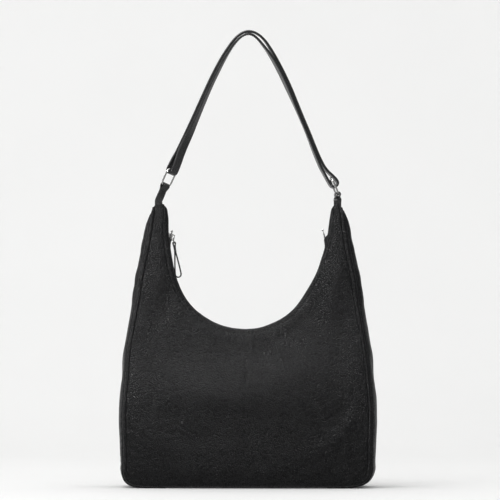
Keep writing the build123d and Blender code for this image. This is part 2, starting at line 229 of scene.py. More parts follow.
# ------------------------------------------------------------------ meshes
def make_object(name, verts_mm, faces, *materials):
    """Smooth-shaded mesh object from millimetre vertices."""
    mesh = bpy.data.meshes.new(name)
    mesh.from_pydata([tuple(v) for v in (arr(verts_mm) * MM)], [], faces)
    mesh.validate()
    ob = bpy.data.objects.new(name, mesh)
    bpy.context.scene.collection.objects.link(ob)
    mesh.polygons.foreach_set("use_smooth", [True] * len(mesh.polygons))
    for material in materials:
        mesh.materials.append(material)
    return ob


def register(ob, rides, slot, *replaced):
    """Attach the object to the body it moves with and hide the nodes it stands for; slot is not
    used.
    """
    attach(ob, rides)
    if replaced:
        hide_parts(*replaced)


def apply_modifiers(ob):
    depsgraph = bpy.context.evaluated_depsgraph_get()
    mesh = bpy.data.meshes.new_from_object(ob.evaluated_get(depsgraph))
    old = ob.data
    ob.modifiers.clear()
    ob.data = mesh
    mesh.name = ob.name
    bpy.data.meshes.remove(old)
    mesh.polygons.foreach_set("use_smooth", [True] * len(mesh.polygons))


def fix_normals(ob, weld=None):
    """Turn all faces outwards, after welding vertices closer than weld metres."""
    bm = bmesh.new()
    bm.from_mesh(ob.data)
    if weld:
        bmesh.ops.remove_doubles(bm, verts=bm.verts, dist=weld)
    bmesh.ops.recalc_face_normals(bm, faces=bm.faces)
    bm.to_mesh(ob.data)
    bm.free()


def grid_faces(rows, columns, wrap_rows=False, wrap_columns=False, base=0, flip=False):
    faces = []
    for i in range(rows if wrap_rows else rows - 1):
        row, next_row = base + i * columns, base + ((i + 1) % rows) * columns
        for j in range(columns if wrap_columns else columns - 1):
            k = (j + 1) % columns
            quad = (row + j, next_row + j, next_row + k, row + k)
            faces.append((quad[0], quad[3], quad[2], quad[1]) if flip else quad)
    return faces


def sheet(name, grid, material, thickness, flip=False, offset=-1.0):
    """Grid of points (rows, columns, 3) as a mesh with real thickness."""
    rows, columns = grid.shape[:2]
    faces = grid_faces(rows, columns, flip=flip)
    ob = make_object(name, grid.reshape(-1, 3), faces, material)
    solidify = ob.modifiers.new("thick", "SOLIDIFY")
    solidify.thickness = thickness * MM
    solidify.offset = offset
    apply_modifiers(ob)
    return ob


def normals(grid):
    return unit(np.cross(np.gradient(grid, axis=0), np.gradient(grid, axis=1)))


def outward_normals(grid, axis, sign, columns=slice(None)):
    """Normals of a grid, turned so that the given columns face along sign * axis."""
    found = normals(grid)
    return -found if (found[:, columns, axis] * sign).mean() < 0 else found


def smooth_grid(grid, times):
    for _ in range(times):
        rows = grid.copy()
        rows[1:-1] = (grid[:-2] + 2 * grid[1:-1] + grid[2:]) / 4
        grid = rows.copy()
        grid[:, 1:-1] = (rows[:, :-2] + 2 * rows[:, 1:-1] + rows[:, 2:]) / 4
    return grid


def section_ring(width, thickness, radius, corner_steps):
    """Rounded rectangle outline, rows of (across, thick), with extra points on both faces."""
    points = []
    across, thick = width / 2 - radius, thickness / 2 - radius
    for x, y, start in ((across, thick, 0), (-across, thick, 90),
                        (-across, -thick, 180), (across, -thick, 270)):
        for i in range(corner_steps + 1):
            angle = math.radians(start + 90 * i / corner_steps)
            points.append((x + radius * math.cos(angle), y + radius * math.sin(angle)))
        if start in (0, 180):
            for share in np.linspace(0, 1, 7)[1:-1]:
                points.append((x - 2 * x * share, math.copysign(thickness / 2, y)))
    return arr(points)


def section_along(path, across, out, ring, squeeze=1.0):
    """Rings of points: the section placed at every point of the path."""
    return (path[:, None] + across[:, None] * ring[None, :, 0:1] * squeeze
            + out[:, None] * ring[None, :, 1:2])


def square_frames(path, across, out):
    """Make the across and out directions square to the path and to each other."""
    tangent = unit(np.gradient(path, axis=0))
    across = unit(across - (across * tangent).sum(1, keepdims=True) * tangent)
    square = np.cross(tangent, across)
    return across, square * np.where((square * out).sum(1) < 0, -1.0, 1.0)[:, None]


def swept_mesh(name, rings, *materials, closed=False):
    """Skin over rings of points, joined end to end or capped."""
    count, sides = rings.shape[:2]
    verts = rings.reshape(-1, 3)
    faces = grid_faces(count, sides, wrap_rows=closed, wrap_columns=True)
    if not closed:
        verts = np.vstack([verts, rings[0].mean(0), rings[-1].mean(0)])
        first_cap, last_cap, last = count * sides, count * sides + 1, (count - 1) * sides
        faces += [(first_cap, j, (j + 1) % sides) for j in range(sides)]
        faces += [(last_cap, last + (j + 1) % sides, last + j) for j in range(sides)]
    ob = make_object(name, verts, faces, *materials)
    fix_normals(ob)
    return ob


def paint_edges(ob, ring, beyond, caps=False):
    """Second material on the faces farther across than beyond, and on the end caps."""
    edge = np.abs(ring[:, 0]) > beyond
    for k, face in enumerate(ob.data.polygons):
        if len(face.vertices) == 3:
            painted = caps
        else:
            painted = edge[k % len(edge)] and edge[(k + 1) % len(edge)]
        if painted:
            face.material_index = 1


# ------------------------------------------------------------------ stitches
# (fraction of the stitch's length, share of its radius)
STITCH_RINGS = [(0.0, 0.25), (0.06, 0.72), (0.2, 1.0), (0.5, 1.08), (0.8, 1.0), (0.94, 0.72),
                (1.0, 0.25)]
STITCH_ARCH = 0.75       # rise of a stitch's middle, in radii
STITCH_SINK = 0.35       # how deep a stitch sits, in radii


def stitches_along(path, normal, pitch, length, radius, lift=0.0):
    """(start, end, up) of stitches along a polyline that lies on a surface."""
    distance = run_length(path)
    stitches = []
    for start in np.arange(pitch * 0.5, distance[-1] - pitch, pitch):
        up = unit(interp_rows(start + length / 2, distance, normal))
        raised = up * (lift - radius * STITCH_SINK)
        stitches.append((interp_rows(start, distance, path) + raised,
                         interp_rows(start + length, distance, path) + raised, up))
    return stitches


def sew(name, stitches, radius, sides=6):
    """Many short rounded stitches in one mesh."""
    verts, faces = [], []
    for start, end, up in stitches:
        along = unit(end - start)
        side = unit(np.cross(along, up))
        up = np.cross(side, along)
        base = len(verts)
        for fraction, share in STITCH_RINGS:
            arch = up * radius * STITCH_ARCH * math.sin(math.pi * fraction)
            middle = start + (end - start) * fraction + arch
            for k in range(sides):
                angle = 2 * math.pi * k / sides
                verts.append(middle + radius * share * (math.cos(angle) * side
                                                        + math.sin(angle) * up))
        faces += grid_faces(len(STITCH_RINGS), sides, wrap_columns=True, base=base)
        last = base + (len(STITCH_RINGS) - 1) * sides
        faces.append(tuple(base + k for k in range(sides)))
        faces.append(tuple(last + k for k in range(sides))[::-1])
    return make_object(name, verts, faces, THREAD)


# ------------------------------------------------------------------ shader building
class Graph:
    """Short calls for building a node tree."""
    def __init__(self, tree):
        self.tree = tree
        tree.nodes.clear()

    def feed(self, node, inputs):
        """Link or set inputs; three-part colours get an alpha of 1."""
        for key, value in inputs.items():
            socket = node.inputs[key]
            if isinstance(value, bpy.types.NodeSocket):
                self.tree.links.new(value, socket)
            elif socket.type == "RGBA" and len(value) == 3:
                socket.default_value = (*value, 1)
            else:
                socket.default_value = value

    def node(self, kind, inputs=None, **settings):
        made = self.tree.nodes.new(kind)
        for key, value in settings.items():
            setattr(made, key, value)
        self.feed(made, inputs or {})
        return made

    def math(self, operation, *values, clamped=False):
        return self.node("ShaderNodeMath", dict(enumerate(values)), operation=operation,
                         use_clamp=clamped).outputs[0]

    def add(self, first, second, clamped=False):
        return self.math("ADD", first, second, clamped=clamped)

    def subtract(self, first, second):
        return self.math("SUBTRACT", first, second)

    def multiply(self, first, second):
        return self.math("MULTIPLY", first, second)

    def remap(self, value, source, target, smooth=False):
        return self.node("ShaderNodeMapRange", {
            "Value": value, "From Min": source[0], "From Max": source[1],
            "To Min": target[0], "To Max": target[1],
        }, interpolation_type="SMOOTHSTEP" if smooth else "LINEAR").outputs["Result"]

    def mix(self, factor, first, second):
        return self.node("ShaderNodeMix", {0: factor, 6: first, 7: second},
                         data_type="RGBA").outputs[2]

    def noise(self, vector, scale, detail, roughness=0.5):
        return self.node("ShaderNodeTexNoise", {
            "Vector": vector, "Scale": scale, "Detail": detail,
            "Roughness": roughness}).outputs["Fac"]

    def bump(self, height, strength, distance_mm):
        return self.node("ShaderNodeBump", {
            "Height": height, "Strength": strength,
            "Distance": distance_mm * MM}).outputs[0]

    def millimetres(self):
        """Object coordinates in millimetres."""
        coords = self.node("ShaderNodeTexCoord").outputs["Object"]
        return self.node("ShaderNodeMapping", {
            "Vector": coords, "Scale": (1000.0,) * 3}).outputs["Vector"]

    def pointiness(self):
        return self.node("ShaderNodeNewGeometry").outputs["Pointiness"]


def new_material(name):
    """Material with a lone principled shader: (material, graph, shader, output)."""
    material = bpy.data.materials.new(name)
    material.use_nodes = True
    graph = Graph(material.node_tree)
    output = graph.node("ShaderNodeOutputMaterial")
    surface = graph.node("ShaderNodeBsdfPrincipled")
    graph.feed(output, {0: surface.outputs[0]})
    return material, graph, surface, output


# ------------------------------------------------------------------ materials
def leather(name, cell, depth, dark, light, rough, specular, grain=1.0, wear=0.3):
    """Tumbled leather: rounded pebbles cell mm wide and depth mm high between creases,
    fine pores, and soft wear where it bulges."""
    material, graph, surface, _ = new_material(name)
    at = graph.millimetres()

    # bend the cell pattern so that pebbles are uneven
    bend = graph.node("ShaderNodeTexNoise", {"Vector": at, "Scale": 0.22, "Detail": 2.0})
    centred = graph.node("ShaderNodeVectorMath", {
        0: bend.outputs["Color"], 1: (0.5, 0.5, 0.5)}, operation="SUBTRACT")
    bend_mm = graph.node("ShaderNodeVectorMath", {
        0: centred.outputs[0], "Scale": 2.6}, operation="SCALE")
    bent = graph.node("ShaderNodeVectorMath", {
        0: at, 1: bend_mm.outputs[0]}, operation="ADD").outputs[0]

    def cells(width, feature, **inputs):
        return graph.node("ShaderNodeTexVoronoi", {
            "Vector": bent, "Scale": 1.0 / width, **inputs}, feature=feature)

    creases = cells(cell, "DISTANCE_TO_EDGE", Randomness=0.92).outputs["Distance"]
    small_creases = cells(cell * 0.52, "DISTANCE_TO_EDGE").outputs["Distance"]
    centres = cells(cell, "F1", Randomness=0.92)
    pebble = graph.remap(creases, source=(0.0, 0.42), target=(0.0, 1.0), smooth=True)
    small = graph.remap(small_creases, source=(0.0, 0.22), target=(0.0, 1.0), smooth=True)
    tone = graph.node("ShaderNodeSeparateColor", {0: centres.outputs["Color"]}).outputs[0]
    broad = graph.noise(at, scale=0.035, detail=3)
    patches = graph.noise(at, scale=0.16, detail=4)
    pores = graph.noise(at, scale=3.2, detail=3, roughness=0.6)

    # each pebble is a dome; its height varies by region and by cell
    reach = graph.multiply(centres.outputs["Distance"], 1.25)
    dome = graph.subtract(1.0, graph.multiply(reach, reach))
    region_height = graph.remap(broad, source=(0.35, 0.68), target=(0.8, 1.05))
    cell_height = graph.add(0.85, graph.multiply(tone, 0.3))
    height = graph.add(graph.multiply(dome, 1.25), graph.multiply(pebble, 0.55))
    height = graph.multiply(height, graph.multiply(region_height, cell_height))
    for layer, amount in ((small, 0.08), (patches, 0.10), (pores, 0.05)):
        height = graph.add(height, graph.multiply(layer, amount))

    # painted shade: darker in the creases, with random tone from the patches; lighter where worn
    crease_shade = graph.multiply(
        pebble, graph.remap(patches, source=(0.3, 0.7), target=(0.55, 1.0)))
    worn = graph.remap(graph.pointiness(), source=(0.505, 0.56), target=(0.0, wear))
    worn_color = tuple(min(1.0, part * 2.1) for part in light)
    color = graph.mix(worn, graph.mix(crease_shade, dark, light), worn_color)

    # creases are rougher and hardly shine
    crease_rough = graph.multiply(graph.subtract(1.0, pebble), 0.16)
    pore_rough = graph.multiply(graph.subtract(pores, 0.5), 0.10)
    roughness = graph.remap(patches, source=(0.25, 0.75), target=rough)
    roughness = graph.add(graph.add(roughness, crease_rough), pore_rough, clamped=True)
    shine = graph.remap(pebble, source=(0.0, 0.55), target=(0.5, 1.4))
    graph.feed(surface, {
        "Normal": graph.bump(height, strength=grain, distance_mm=depth),
        "Base Color": color, "Roughness": roughness,
        "Specular IOR Level": graph.multiply(shine, specular)})
    return material


def metal(name, rough, color=(0.80, 0.80, 0.79)):
    """Polished plate: hairline scratches, dulled patches, painted shade darker in hollows."""
    material, graph, surface, _ = new_material(name)
    at = graph.millimetres()
    stretched = graph.node("ShaderNodeMapping", {
        "Vector": at, "Scale": (3.0, 3.0, 0.25), "Rotation": (0.3, 0.5, 0.2)}).outputs[0]
    hairlines = graph.noise(stretched, scale=6.0, detail=6, roughness=0.7)
    dull = graph.noise(at, scale=0.35, detail=3)
    roughness = graph.add(
        graph.remap(dull, source=(0.3, 0.7), target=rough),
        graph.remap(hairlines, source=(0.55, 0.8), target=(0.0, 0.12)), clamped=True)
    # painted shade: the colour is darker where the surface is hollow
    hollow = graph.remap(graph.pointiness(), source=(0.42, 0.5), target=(0.35, 1.0))
    shaded = graph.mix(hollow, tuple(part * 0.45 for part in color), color)
    dull_color = tuple(part * share for part, share in zip(color, (0.82, 0.80, 0.76)))
    dull_amount = graph.remap(dull, source=(0.4, 0.8), target=(0.0, 0.25))
    graph.feed(surface, {
        "Roughness": roughness, "Metallic": 1.0,
        "Base Color": graph.mix(dull_amount, shaded, dull_color),
        "Normal": graph.bump(hairlines, strength=0.12, distance_mm=0.02)})
    return material


def weave(name, pitch, dark, light, twill=False, rough=0.75):
    """Woven cloth: two crossing sets of threads pitch mm apart, with slubs."""
    material, graph, surface, _ = new_material(name)
    at = graph.millimetres()
    x, y, z = graph.node("ShaderNodeSeparateXYZ", {0: at}).outputs
    if twill:
        directions = (graph.add(x, graph.add(y, z)), graph.subtract(graph.add(x, z), y))
    else:
        directions = (graph.add(x, y), graph.add(z, graph.multiply(y, 0.6)))
    # both thread sets stand equally high
    warp, weft = [
        graph.multiply(graph.math("SINE", graph.multiply(run, 2 * math.pi / pitch)), 1.0)
        for run in directions]
    slubs = graph.noise(at, scale=0.8, detail=4)
    threads = graph.remap(graph.math("MAXIMUM", warp, weft), source=(-1, 1), target=(0, 1))
    height = graph.add(threads, graph.multiply(slubs, 0.6))
    # painted shade: the colour is darker between the threads and lighter on their tops, with
    # random tone from the slubs
    raised = graph.remap(height, source=(0.3, 1.5), target=(0, 1))
    graph.feed(surface, {
        "Normal": graph.bump(height, strength=0.8, distance_mm=0.12),
        "Base Color": graph.mix(raised, dark, light),
        "Roughness": graph.remap(slubs, source=(0.3, 0.7), target=(rough - 0.08, rough + 0.08)),
        "Sheen Weight": 0.15})
    return material


def thread(name, color):
    """Waxed sewing thread with a visible twist."""
    material, graph, surface, _ = new_material(name)
    at = graph.millimetres()
    twist = graph.node("ShaderNodeTexWave", {
        "Vector": at, "Scale": 1.6, "Distortion": 1.0,
    }, wave_type="BANDS", bands_direction="DIAGONAL").outputs["Fac"]
    wax = graph.noise(at, scale=2.0, detail=3)
    # painted shade: the colour is darker in the grooves of the twist
    graph.feed(surface, {
        "Base Color": graph.mix(twist, tuple(part * 0.5 for part in color), color),
        "Roughness": graph.remap(wax, source=(0.3, 0.7), target=(0.38, 0.6)),
        "Normal": graph.bump(twist, strength=0.7, distance_mm=0.08)})
    return material


def fibre_board(name, dark, light):
    """Pressed fibre board with flecks."""
    material, graph, surface, _ = new_material(name)
    at = graph.millimetres()
    flecks = graph.noise(at, scale=0.9, detail=6, roughness=0.7)
    patches = graph.noise(at, scale=0.12, detail=3)
    tone = graph.remap(flecks, source=(0.35, 0.65), target=(0, 1))
    graph.feed(surface, {
        "Base Color": graph.mix(tone, dark, light),
        "Roughness": graph.remap(patches, source=(0.3, 0.7), target=(0.7, 0.9)),
        "Normal": graph.bump(flecks, strength=0.5, distance_mm=0.1)})
    return material


BODY_LEATHER = leather(
    "pebbled_leather_panel", cell=2.0, depth=0.27, dark=(0.004, 0.004, 0.0044),
    light=(0.0125, 0.0125, 0.0135), rough=(0.23, 0.29), specular=0.25)
STRAP_LEATHER = leather(
    "strap_leather", cell=0.95, depth=0.03, dark=(0.012, 0.012, 0.0125),
    light=(0.022, 0.022, 0.023), rough=(0.17, 0.27), specular=1.0)
EDGE_PAINT = leather(
    "painted_edge", cell=1.2, depth=0.03, dark=(0.006, 0.006, 0.0065),
    light=(0.022, 0.022, 0.023), rough=(0.14, 0.22), specular=0.9, grain=0.5)
SILVER = metal("silver_hardware", rough=(0.10, 0.24))
TEETH_METAL = metal("zip_teeth_metal", rough=(0.20, 0.34))
TAPE_WEAVE = weave("zip_tape_weave", pitch=0.55, dark=(0.010, 0.010, 0.011),
                   light=(0.040, 0.040, 0.043), twill=True)
LINING_CLOTH = weave("lining_cloth", pitch=0.6, dark=(0.02, 0.02, 0.022),
                     light=(0.07, 0.07, 0.075))
THREAD = thread("waxed_thread", color=(0.03, 0.03, 0.032))
BOARD_FIBRE = fibre_board("base_board_fibre", dark=(0.06, 0.055, 0.05),
                          light=(0.16, 0.15, 0.135))


# ------------------------------------------------------------------ panel shape
# (lip fraction, seam fraction) joined by one row of the panel, from the horn to the middle
ROW_ENDS = [(0, 0), (0.12, 0.055), (0.31, 0.145), (0.50, 0.30), (0.68, 0.50), (0.85, 0.73),
            (1, 1)]
# (x, z, strength): a soft ridge under the mouth and up the right horn
RIDGE = [(-118, 142, 0.15), (-90, 133, 0.45), (-50, 131, 0.85), (0, 133, 1), (45, 144, 1),
         (82, 170, 0.9), (108, 214, 0.6), (122, 258, 0.4), (127, 292, 0.2)]
RIDGE_RADIUS = 24.0
# (height, x, z, x radius, z radius, fade distance): swells that fade out at the seam:
# one by the left side seam, one right of the middle
SEAM_SWELLS = [(2.0, -142, 132, 34, 75, 22), (2.6, 66, 112, 52, 62, 22)]
# the same columns: swells that fade out at the lip, left of and under the mouth's left half
LIP_SWELLS = [(1.8, -98, 238, 20, 20, 12), (1.7, -74, 218, 40, 17, 9)]
# (depth, line x, line z, line slope, x, z, x radius, z radius): soft sloping folds
FOLDS = [(0.75, -66, 153, -0.53, -66, 152, 46, 42), (0.80, 34, 182, 0.10, 36, 180, 44, 36)]
FOLD_SOFTNESS = 13


def panel_depth(x, z, from_lip, from_seam):
    """How far the panel stands out from the middle plane."""
    across = clamp(np.abs(x) / (half_width(z) - seam_inset(z)))
    y = seam_depth(z) + (half_depth(z) - seam_depth(z)) * (1 - across ** 2.6)
    # the horns are rounded across
    width = from_lip + from_seam
    y += (clamp((z - 235) / 60) * np.minimum(2.6, width * 0.045)
          * np.sin(np.pi * from_lip / np.maximum(width, 1e-6)))
    ridge_x, ridge_z, strength = arr(RIDGE).T
    squared = (x[..., None] - ridge_x) ** 2 + (z[..., None] - ridge_z) ** 2
    ridge = (np.exp(-squared / RIDGE_RADIUS ** 2) * strength).sum(-1)
    y += 1.6 * np.clip(ridge, 0, 1.25)
    for swells, distance in ((SEAM_SWELLS, from_seam), (LIP_SWELLS, from_lip)):
        for height, *oval, fade in swells:
            y += height * spot(x, z, *oval) * clamp(distance / fade)
    # the right side turns away sooner
    y -= 2.2 * clamp((x - 92) / 76) ** 1.5 * bell(z - 125, 72)
    for depth, line_x, line_z, slope, *oval in FOLDS:
        above = z - (line_z + slope * (x - line_x))
        y -= depth * np.tanh(above / FOLD_SOFTNESS) * spot(x, z, *oval)
    # the lip is drawn towards the zip, more at the middle of the mouth
    low = clamp((300 - z) / 80)
    return y - (1.0 + 4.2 * low) * np.exp(-from_lip / (5 + 12 * low))


def panel_grid(half_rows, columns, facing_y):
    """Grid from the left horn to the right, lip to seam, with distances from lip and seam."""
    # the lip fraction counts twice in the spacing of the rows
    ends = smooth_curve([(lip, lip, seam) for lip, seam in ROW_ENDS], half_rows)
    even = np.linspace(0, 1, columns)
    share = (1 - np.cos(np.pi * even)) / 2 * 0.35 + even * 0.65
    fade = clamp(1 - np.linspace(0, 1, half_rows) / 0.10) ** 1.6
    halves, widths = {}, {}
    for side in (RIGHT, LEFT):
        lip, seam = LIP_CURVE[side](ends[:, 1]), SEAM_CURVE[side](ends[:, 2])
        first, last = arr(TIP[side][0]), arr(TIP[side][-1])
        bulge = TIP_CURVE[side](share) - (first + (last - first) * share[:, None])
        half = (lip[:, None] * (1 - share)[None, :, None] + seam[:, None] * share[None, :, None]
                + fade[:, None, None] * bulge[None])
        half[..., 0] *= side
        halves[side], widths[side] = half, np.linalg.norm(seam - lip, axis=1)
    flat, width = [np.concatenate([part[LEFT], part[RIGHT][::-1][1:]])
                   for part in (halves, widths)]
    x, z = flat[..., 0], flat[..., 1]
    from_lip = width[:, None] * share
    from_seam = width[:, None] * (1 - share)
    y = facing_y * panel_depth(x, z, from_lip, from_seam)
    return np.stack([x, y, z], -1), from_lip, from_seam


# ------------------------------------------------------------------ gusset and base shapes
SKIN = 1.5               # leather thickness
ROLL = 1.6               # radius of a turned edge
TURN_STEPS = 6
STRIP_GAP = 3.8          # how far the gusset's edge stands out from the seam
GUSSET_ROWS, GUSSET_COLUMNS = 240, 60
GUSSET_MIDDLE = GUSSET_COLUMNS // 2
BASE_Z = 0.35            # height of the underside skin


def strip_half(z):
    """Half width of the side strip at a height."""
    return np.maximum(seam_depth(z) - 3.9, 0.5)


def gusset_grid(side):
    """Side strip from the horn down to under the bag's corner."""
    # fractions of the seam, from the horn
    seam = SEAM_CURVE[side](np.linspace(0.003, 0.795, GUSSET_ROWS))
    direction = unit(np.gradient(seam, axis=0))
    out = np.stack([-direction[:, 1], direction[:, 0]], 1)
    z = seam[:, 1]
    inset = np.where((seam[:, 0] > 150) | (z > 60), seam_inset(z), STRIP_GAP)
    across = np.linspace(-1, 1, GUSSET_COLUMNS)
    across = np.sign(across) * (1 - (1 - np.abs(across)) ** 1.15)
    edge_out = STRIP_GAP - 2.6 * ease((z - 368) / 20)
    fullness = np.maximum(inset - STRIP_GAP, 0.0)
    if side == RIGHT:
        fullness = fullness + 2.0 * ease((z - 150) / 70) * ease((330 - z) / 60)
    stand = edge_out[:, None] + fullness[:, None] * (1 - np.abs(across) ** 2.4)
    return np.stack([side * (seam[:, 0:1] + out[:, 0:1] * stand),
                     strip_half(z)[:, None] * across,
                     np.maximum(seam[:, 1:2] + out[:, 1:2] * stand, BASE_Z)], -1)


def turned_rows(edge, inside, normal, radius=ROLL, angle=135, tail=3.0):
    """Columns past the edge of a grid: the skin turns in and ends in a flat tail."""
    out = edge - inside
    out = unit(out - (out * normal).sum(-1, keepdims=True) * normal)
    rows = []
    for k in range(1, TURN_STEPS + 1):
        turn = math.radians(angle * k / TURN_STEPS)
        rows.append(edge + out * (radius * math.sin(turn))
                    - normal * (radius * (1 - math.cos(turn))))
    along = out * math.cos(turn) - normal * math.sin(turn)
    rows += [rows[-1] + along * tail * share for share in (0.5, 1.0)]
    return np.stack(rows, 1)


def turn_edges(grid, normal, **first_turn):
    """Turn in the first and the last column of a grid."""
    first = turned_rows(grid[:, 0], grid[:, 1], normal[:, 0], **first_turn)
    last = turned_rows(grid[:, -1], grid[:, -2], normal[:, -1])
    return np.concatenate([first[:, ::-1], grid, last], 1)


# ------------------------------------------------------------------ cloth pass
CLOTH = {"quality": 6, "mass": 0.35, "tension_stiffness": 22, "compression_stiffness": 14,
         "shear_stiffness": 8, "bending_stiffness": 6.0, "air_damping": 4,
         "use_pressure": True, "uniform_pressure_force": 3.2, "shrink_min": -0.014,
         "vertex_group_mass": "pin"}
CLOTH_GRAVITY = 0.25
CLOTH_LAST_FRAME = 22
CACHE_LAST_FRAME = 24
CLOTH_LIMIT = 6.0        # softly caps the movement, mm
VOXEL = 0.0052           # metres


def closed_body():
    """Coarse closed skin for the pressure pass."""
    front, back = [panel_grid(90, 34, facing_y)[0] for facing_y in (FRONT, BACK)]
    grids = [front, back]
    # strips that close the mouth, the sides with the base, and both horns
    grids += [np.stack([front[:, i], back[:, i]], 1) for i in (0, -1)]
    grids += [np.stack([front[i], back[i]], 1) for i in (0, -1)]
    faces, base = [], 0
    for grid in grids:
        rows, columns = grid.shape[:2]
        faces += grid_faces(rows, columns, base=base)
        base += rows * columns
    return np.vstack([grid.reshape(-1, 3) for grid in grids]), faces


def nearest_distance(points, line, block=4000):
    """Distance from each point to the nearest point of line, block by block."""
    return np.concatenate([
        np.sqrt(((points[i:i + block, None] - line[None]) ** 2).sum(-1)).min(1)
        for i in range(0, len(points), block)])


def pin_weights(rest):
    """The seams, the lip, the base and the horns are held."""
    x, y, z = (rest / MM).T
    seam = SEAM_CURVE[RIGHT](np.linspace(0, 1, 500))
    fractions = np.linspace(0, 1, 300)
    lip = np.vstack([LIP_CURVE[RIGHT](fractions), LIP_CURVE[LEFT](fractions) * arr((-1, 1))])
    to_seam = nearest_distance(np.stack([np.abs(x), z], 1), seam)
    to_lip = nearest_distance(np.stack([x, z], 1), lip)
    inside = seam_depth(z) - np.abs(y)
    to_seam = np.where(inside > 3.0, inside, to_seam)
    pin = clamp(1.35 - np.minimum(to_seam, to_lip) / 5.0)
    pin = np.maximum(pin, (z < 5.0) * 1.0)
    return np.maximum(pin, clamp((z - 345) / 25))


def run_cloth(ob):
    """Simulate and return the vertices of the last frame, in metres."""
    cloth = ob.modifiers.new("cloth", "CLOTH")
    for key, value in CLOTH.items():
        setattr(cloth.settings, key, value)
    cloth.settings.effector_weights.gravity = CLOTH_GRAVITY
    cloth.collision_settings.use_collision = False
    cloth.collision_settings.use_self_collision = False
    cloth.point_cache.frame_start = 1
    cloth.point_cache.frame_end = CACHE_LAST_FRAME
    scene = bpy.context.scene
    for i in range(1, CLOTH_LAST_FRAME + 1):
        scene.frame_set(i)
    depsgraph = bpy.context.evaluated_depsgraph_get()
    moved = arr([v.co for v in ob.evaluated_get(depsgraph).data.vertices])
    scene.frame_set(1)
    return moved


def cloth_field():
    """Run the pressure pass; return a function giving the skin's movement at points, mm."""
    ob = make_object("cloth_pass", *closed_body())
    fix_normals(ob, weld=0.0004)
    remesh = ob.modifiers.new("remesh", "REMESH")
    remesh.mode = "VOXEL"
    remesh.voxel_size = VOXEL
    apply_modifiers(ob)
    rest = arr([v.co for v in ob.data.vertices])
    group = ob.vertex_groups.new(name="pin")
    for i, weight in enumerate(pin_weights(rest)):
        if weight > 0.01:
            group.add([i], float(weight), "REPLACE")
    move = (run_cloth(ob) - rest) / MM
    size = np.linalg.norm(move, axis=1, keepdims=True)
    move = move * (CLOTH_LIMIT * np.tanh(size / CLOTH_LIMIT) / np.maximum(size, 1e-9))
    polygons = [tuple(face.vertices) for face in ob.data.polygons]
    tree = BVHTree.FromPolygons([tuple(v) for v in rest], polygons)
    bpy.data.objects.remove(ob)

    def field(grid):
        flat = grid.reshape(-1, 3) * MM
        found = np.zeros_like(flat)
        for i, point in enumerate(flat):
            near, _, face, _ = tree.find_nearest(Vector(point))
            corners = list(polygons[face])
            gap = np.linalg.norm(rest[corners] - arr(near), axis=1)
            weight = 1.0 / (gap + 5e-4) ** 2
            found[i] = (move[corners] * weight[:, None]).sum(0) / weight.sum()
        return found.reshape(grid.shape)
    return field


CLOTH_FIELD = cloth_field()

# ------------------------------------------------------------------ front and back panels
PANEL_HALF_ROWS, PANEL_COLUMNS = 210, 118
LIP_STITCH_AT = 4.4      # distance from the lip
# (x, z, angle in degrees, wavelength, height, x radius, z radius): soft diagonal wrinkles
WRINKLES = [(-105, 85, 62, 8.5, 0.20, 52, 40), (-150, 60, 48, 9.5, 0.26, 24, 50),
            (120, 70, 118, 10, 0.16, 45, 45), (-160, 18, 40, 6.0, 0.40, 16, 12),
            (160, 20, 140, 6.5, 0.3, 16, 14)]


def panel_relief(grid, from_lip, from_seam, seed):
    """Small heights over the panel: hollows, gathers, puckers and wrinkles."""
    x, _, z = np.moveaxis(grid, -1, 0)
    along_lip = run_length(grid[:, 0])[:, None]
    along_seam = run_length(grid[:, -1])[:, None]
    wander = 2.2 * fbm(np.stack([x, z * 0.3, 0 * x], -1), 26, seed + 5, 2)
    low = clamp((330 - z) / 80)
    # slow hollows and swells of soft leather
    relief = 0.8 * fbm(grid, 75, seed, 2) * clamp(np.minimum(from_lip, from_seam) / 30)
    # (height, distance, wavelength, share of wander in the phase, mask)
    ripples = [
        # gathers that hang from the lip
        (0.16, along_lip, 17.0, 2.4, low * bell(from_lip - 7, 15.0)),
        (0.08, along_lip, 7.5, 3, bell(from_lip - 3.5, 4.5)),
        # short rays under the middle and right of the mouth
        (0.20, x - 20 + 0.35 * (z - 200), 13.5, 1.6, spot(x, z, 28, 186, 46, 24)),
        # small puckers where the seam pulls
        (0.14, along_seam, 9.5, 3.1, bell(from_seam, 5.5)),
        (0.12, along_seam, 23.0, 2.0, bell(from_seam - 8, 11.0))]
    for middle_x, middle_z, degrees, wavelength, height, *radii in WRINKLES:
        angle = math.radians(degrees)
        distance = (x - middle_x) * math.cos(angle) + (z - middle_z) * math.sin(angle)
        mask = spot(x, z, middle_x, middle_z, *radii)
        ripples.append((height, distance, wavelength, 4, mask))
    for height, distance, wavelength, phase, mask in ripples:
        relief += height * ripple(distance, wavelength, wander * phase) * mask
    # the seam allowance raises a line along the side seams, with a groove beside it
    upright = ease((z - 8) / 20)
    relief += 0.55 * upright * bell(from_seam - 1.9, 1.5)
    relief -= 0.75 * upright * bell(from_seam - 5.2, 1.15)
    # the groove pulled in by the lip stitching
    relief -= 0.34 * bell(from_lip - LIP_STITCH_AT, 0.9)
    relief -= 0.22 * bell(from_lip - LIP_STITCH_AT, 2.2)
    return relief


def dart_relief(x, z):
    """Short upright dart below the middle of the mouth: a groove between soft shoulders."""
    dart_x, dart_z = x + 0.5, z - 153
    shoulders = 0.35 * bell(np.abs(dart_x) - 4, 3.0) * bell(dart_z, 15.0)
    return shoulders - 1.15 * bell(dart_x, 1.5) * np.exp(-(dart_z / 12.0) ** 4)


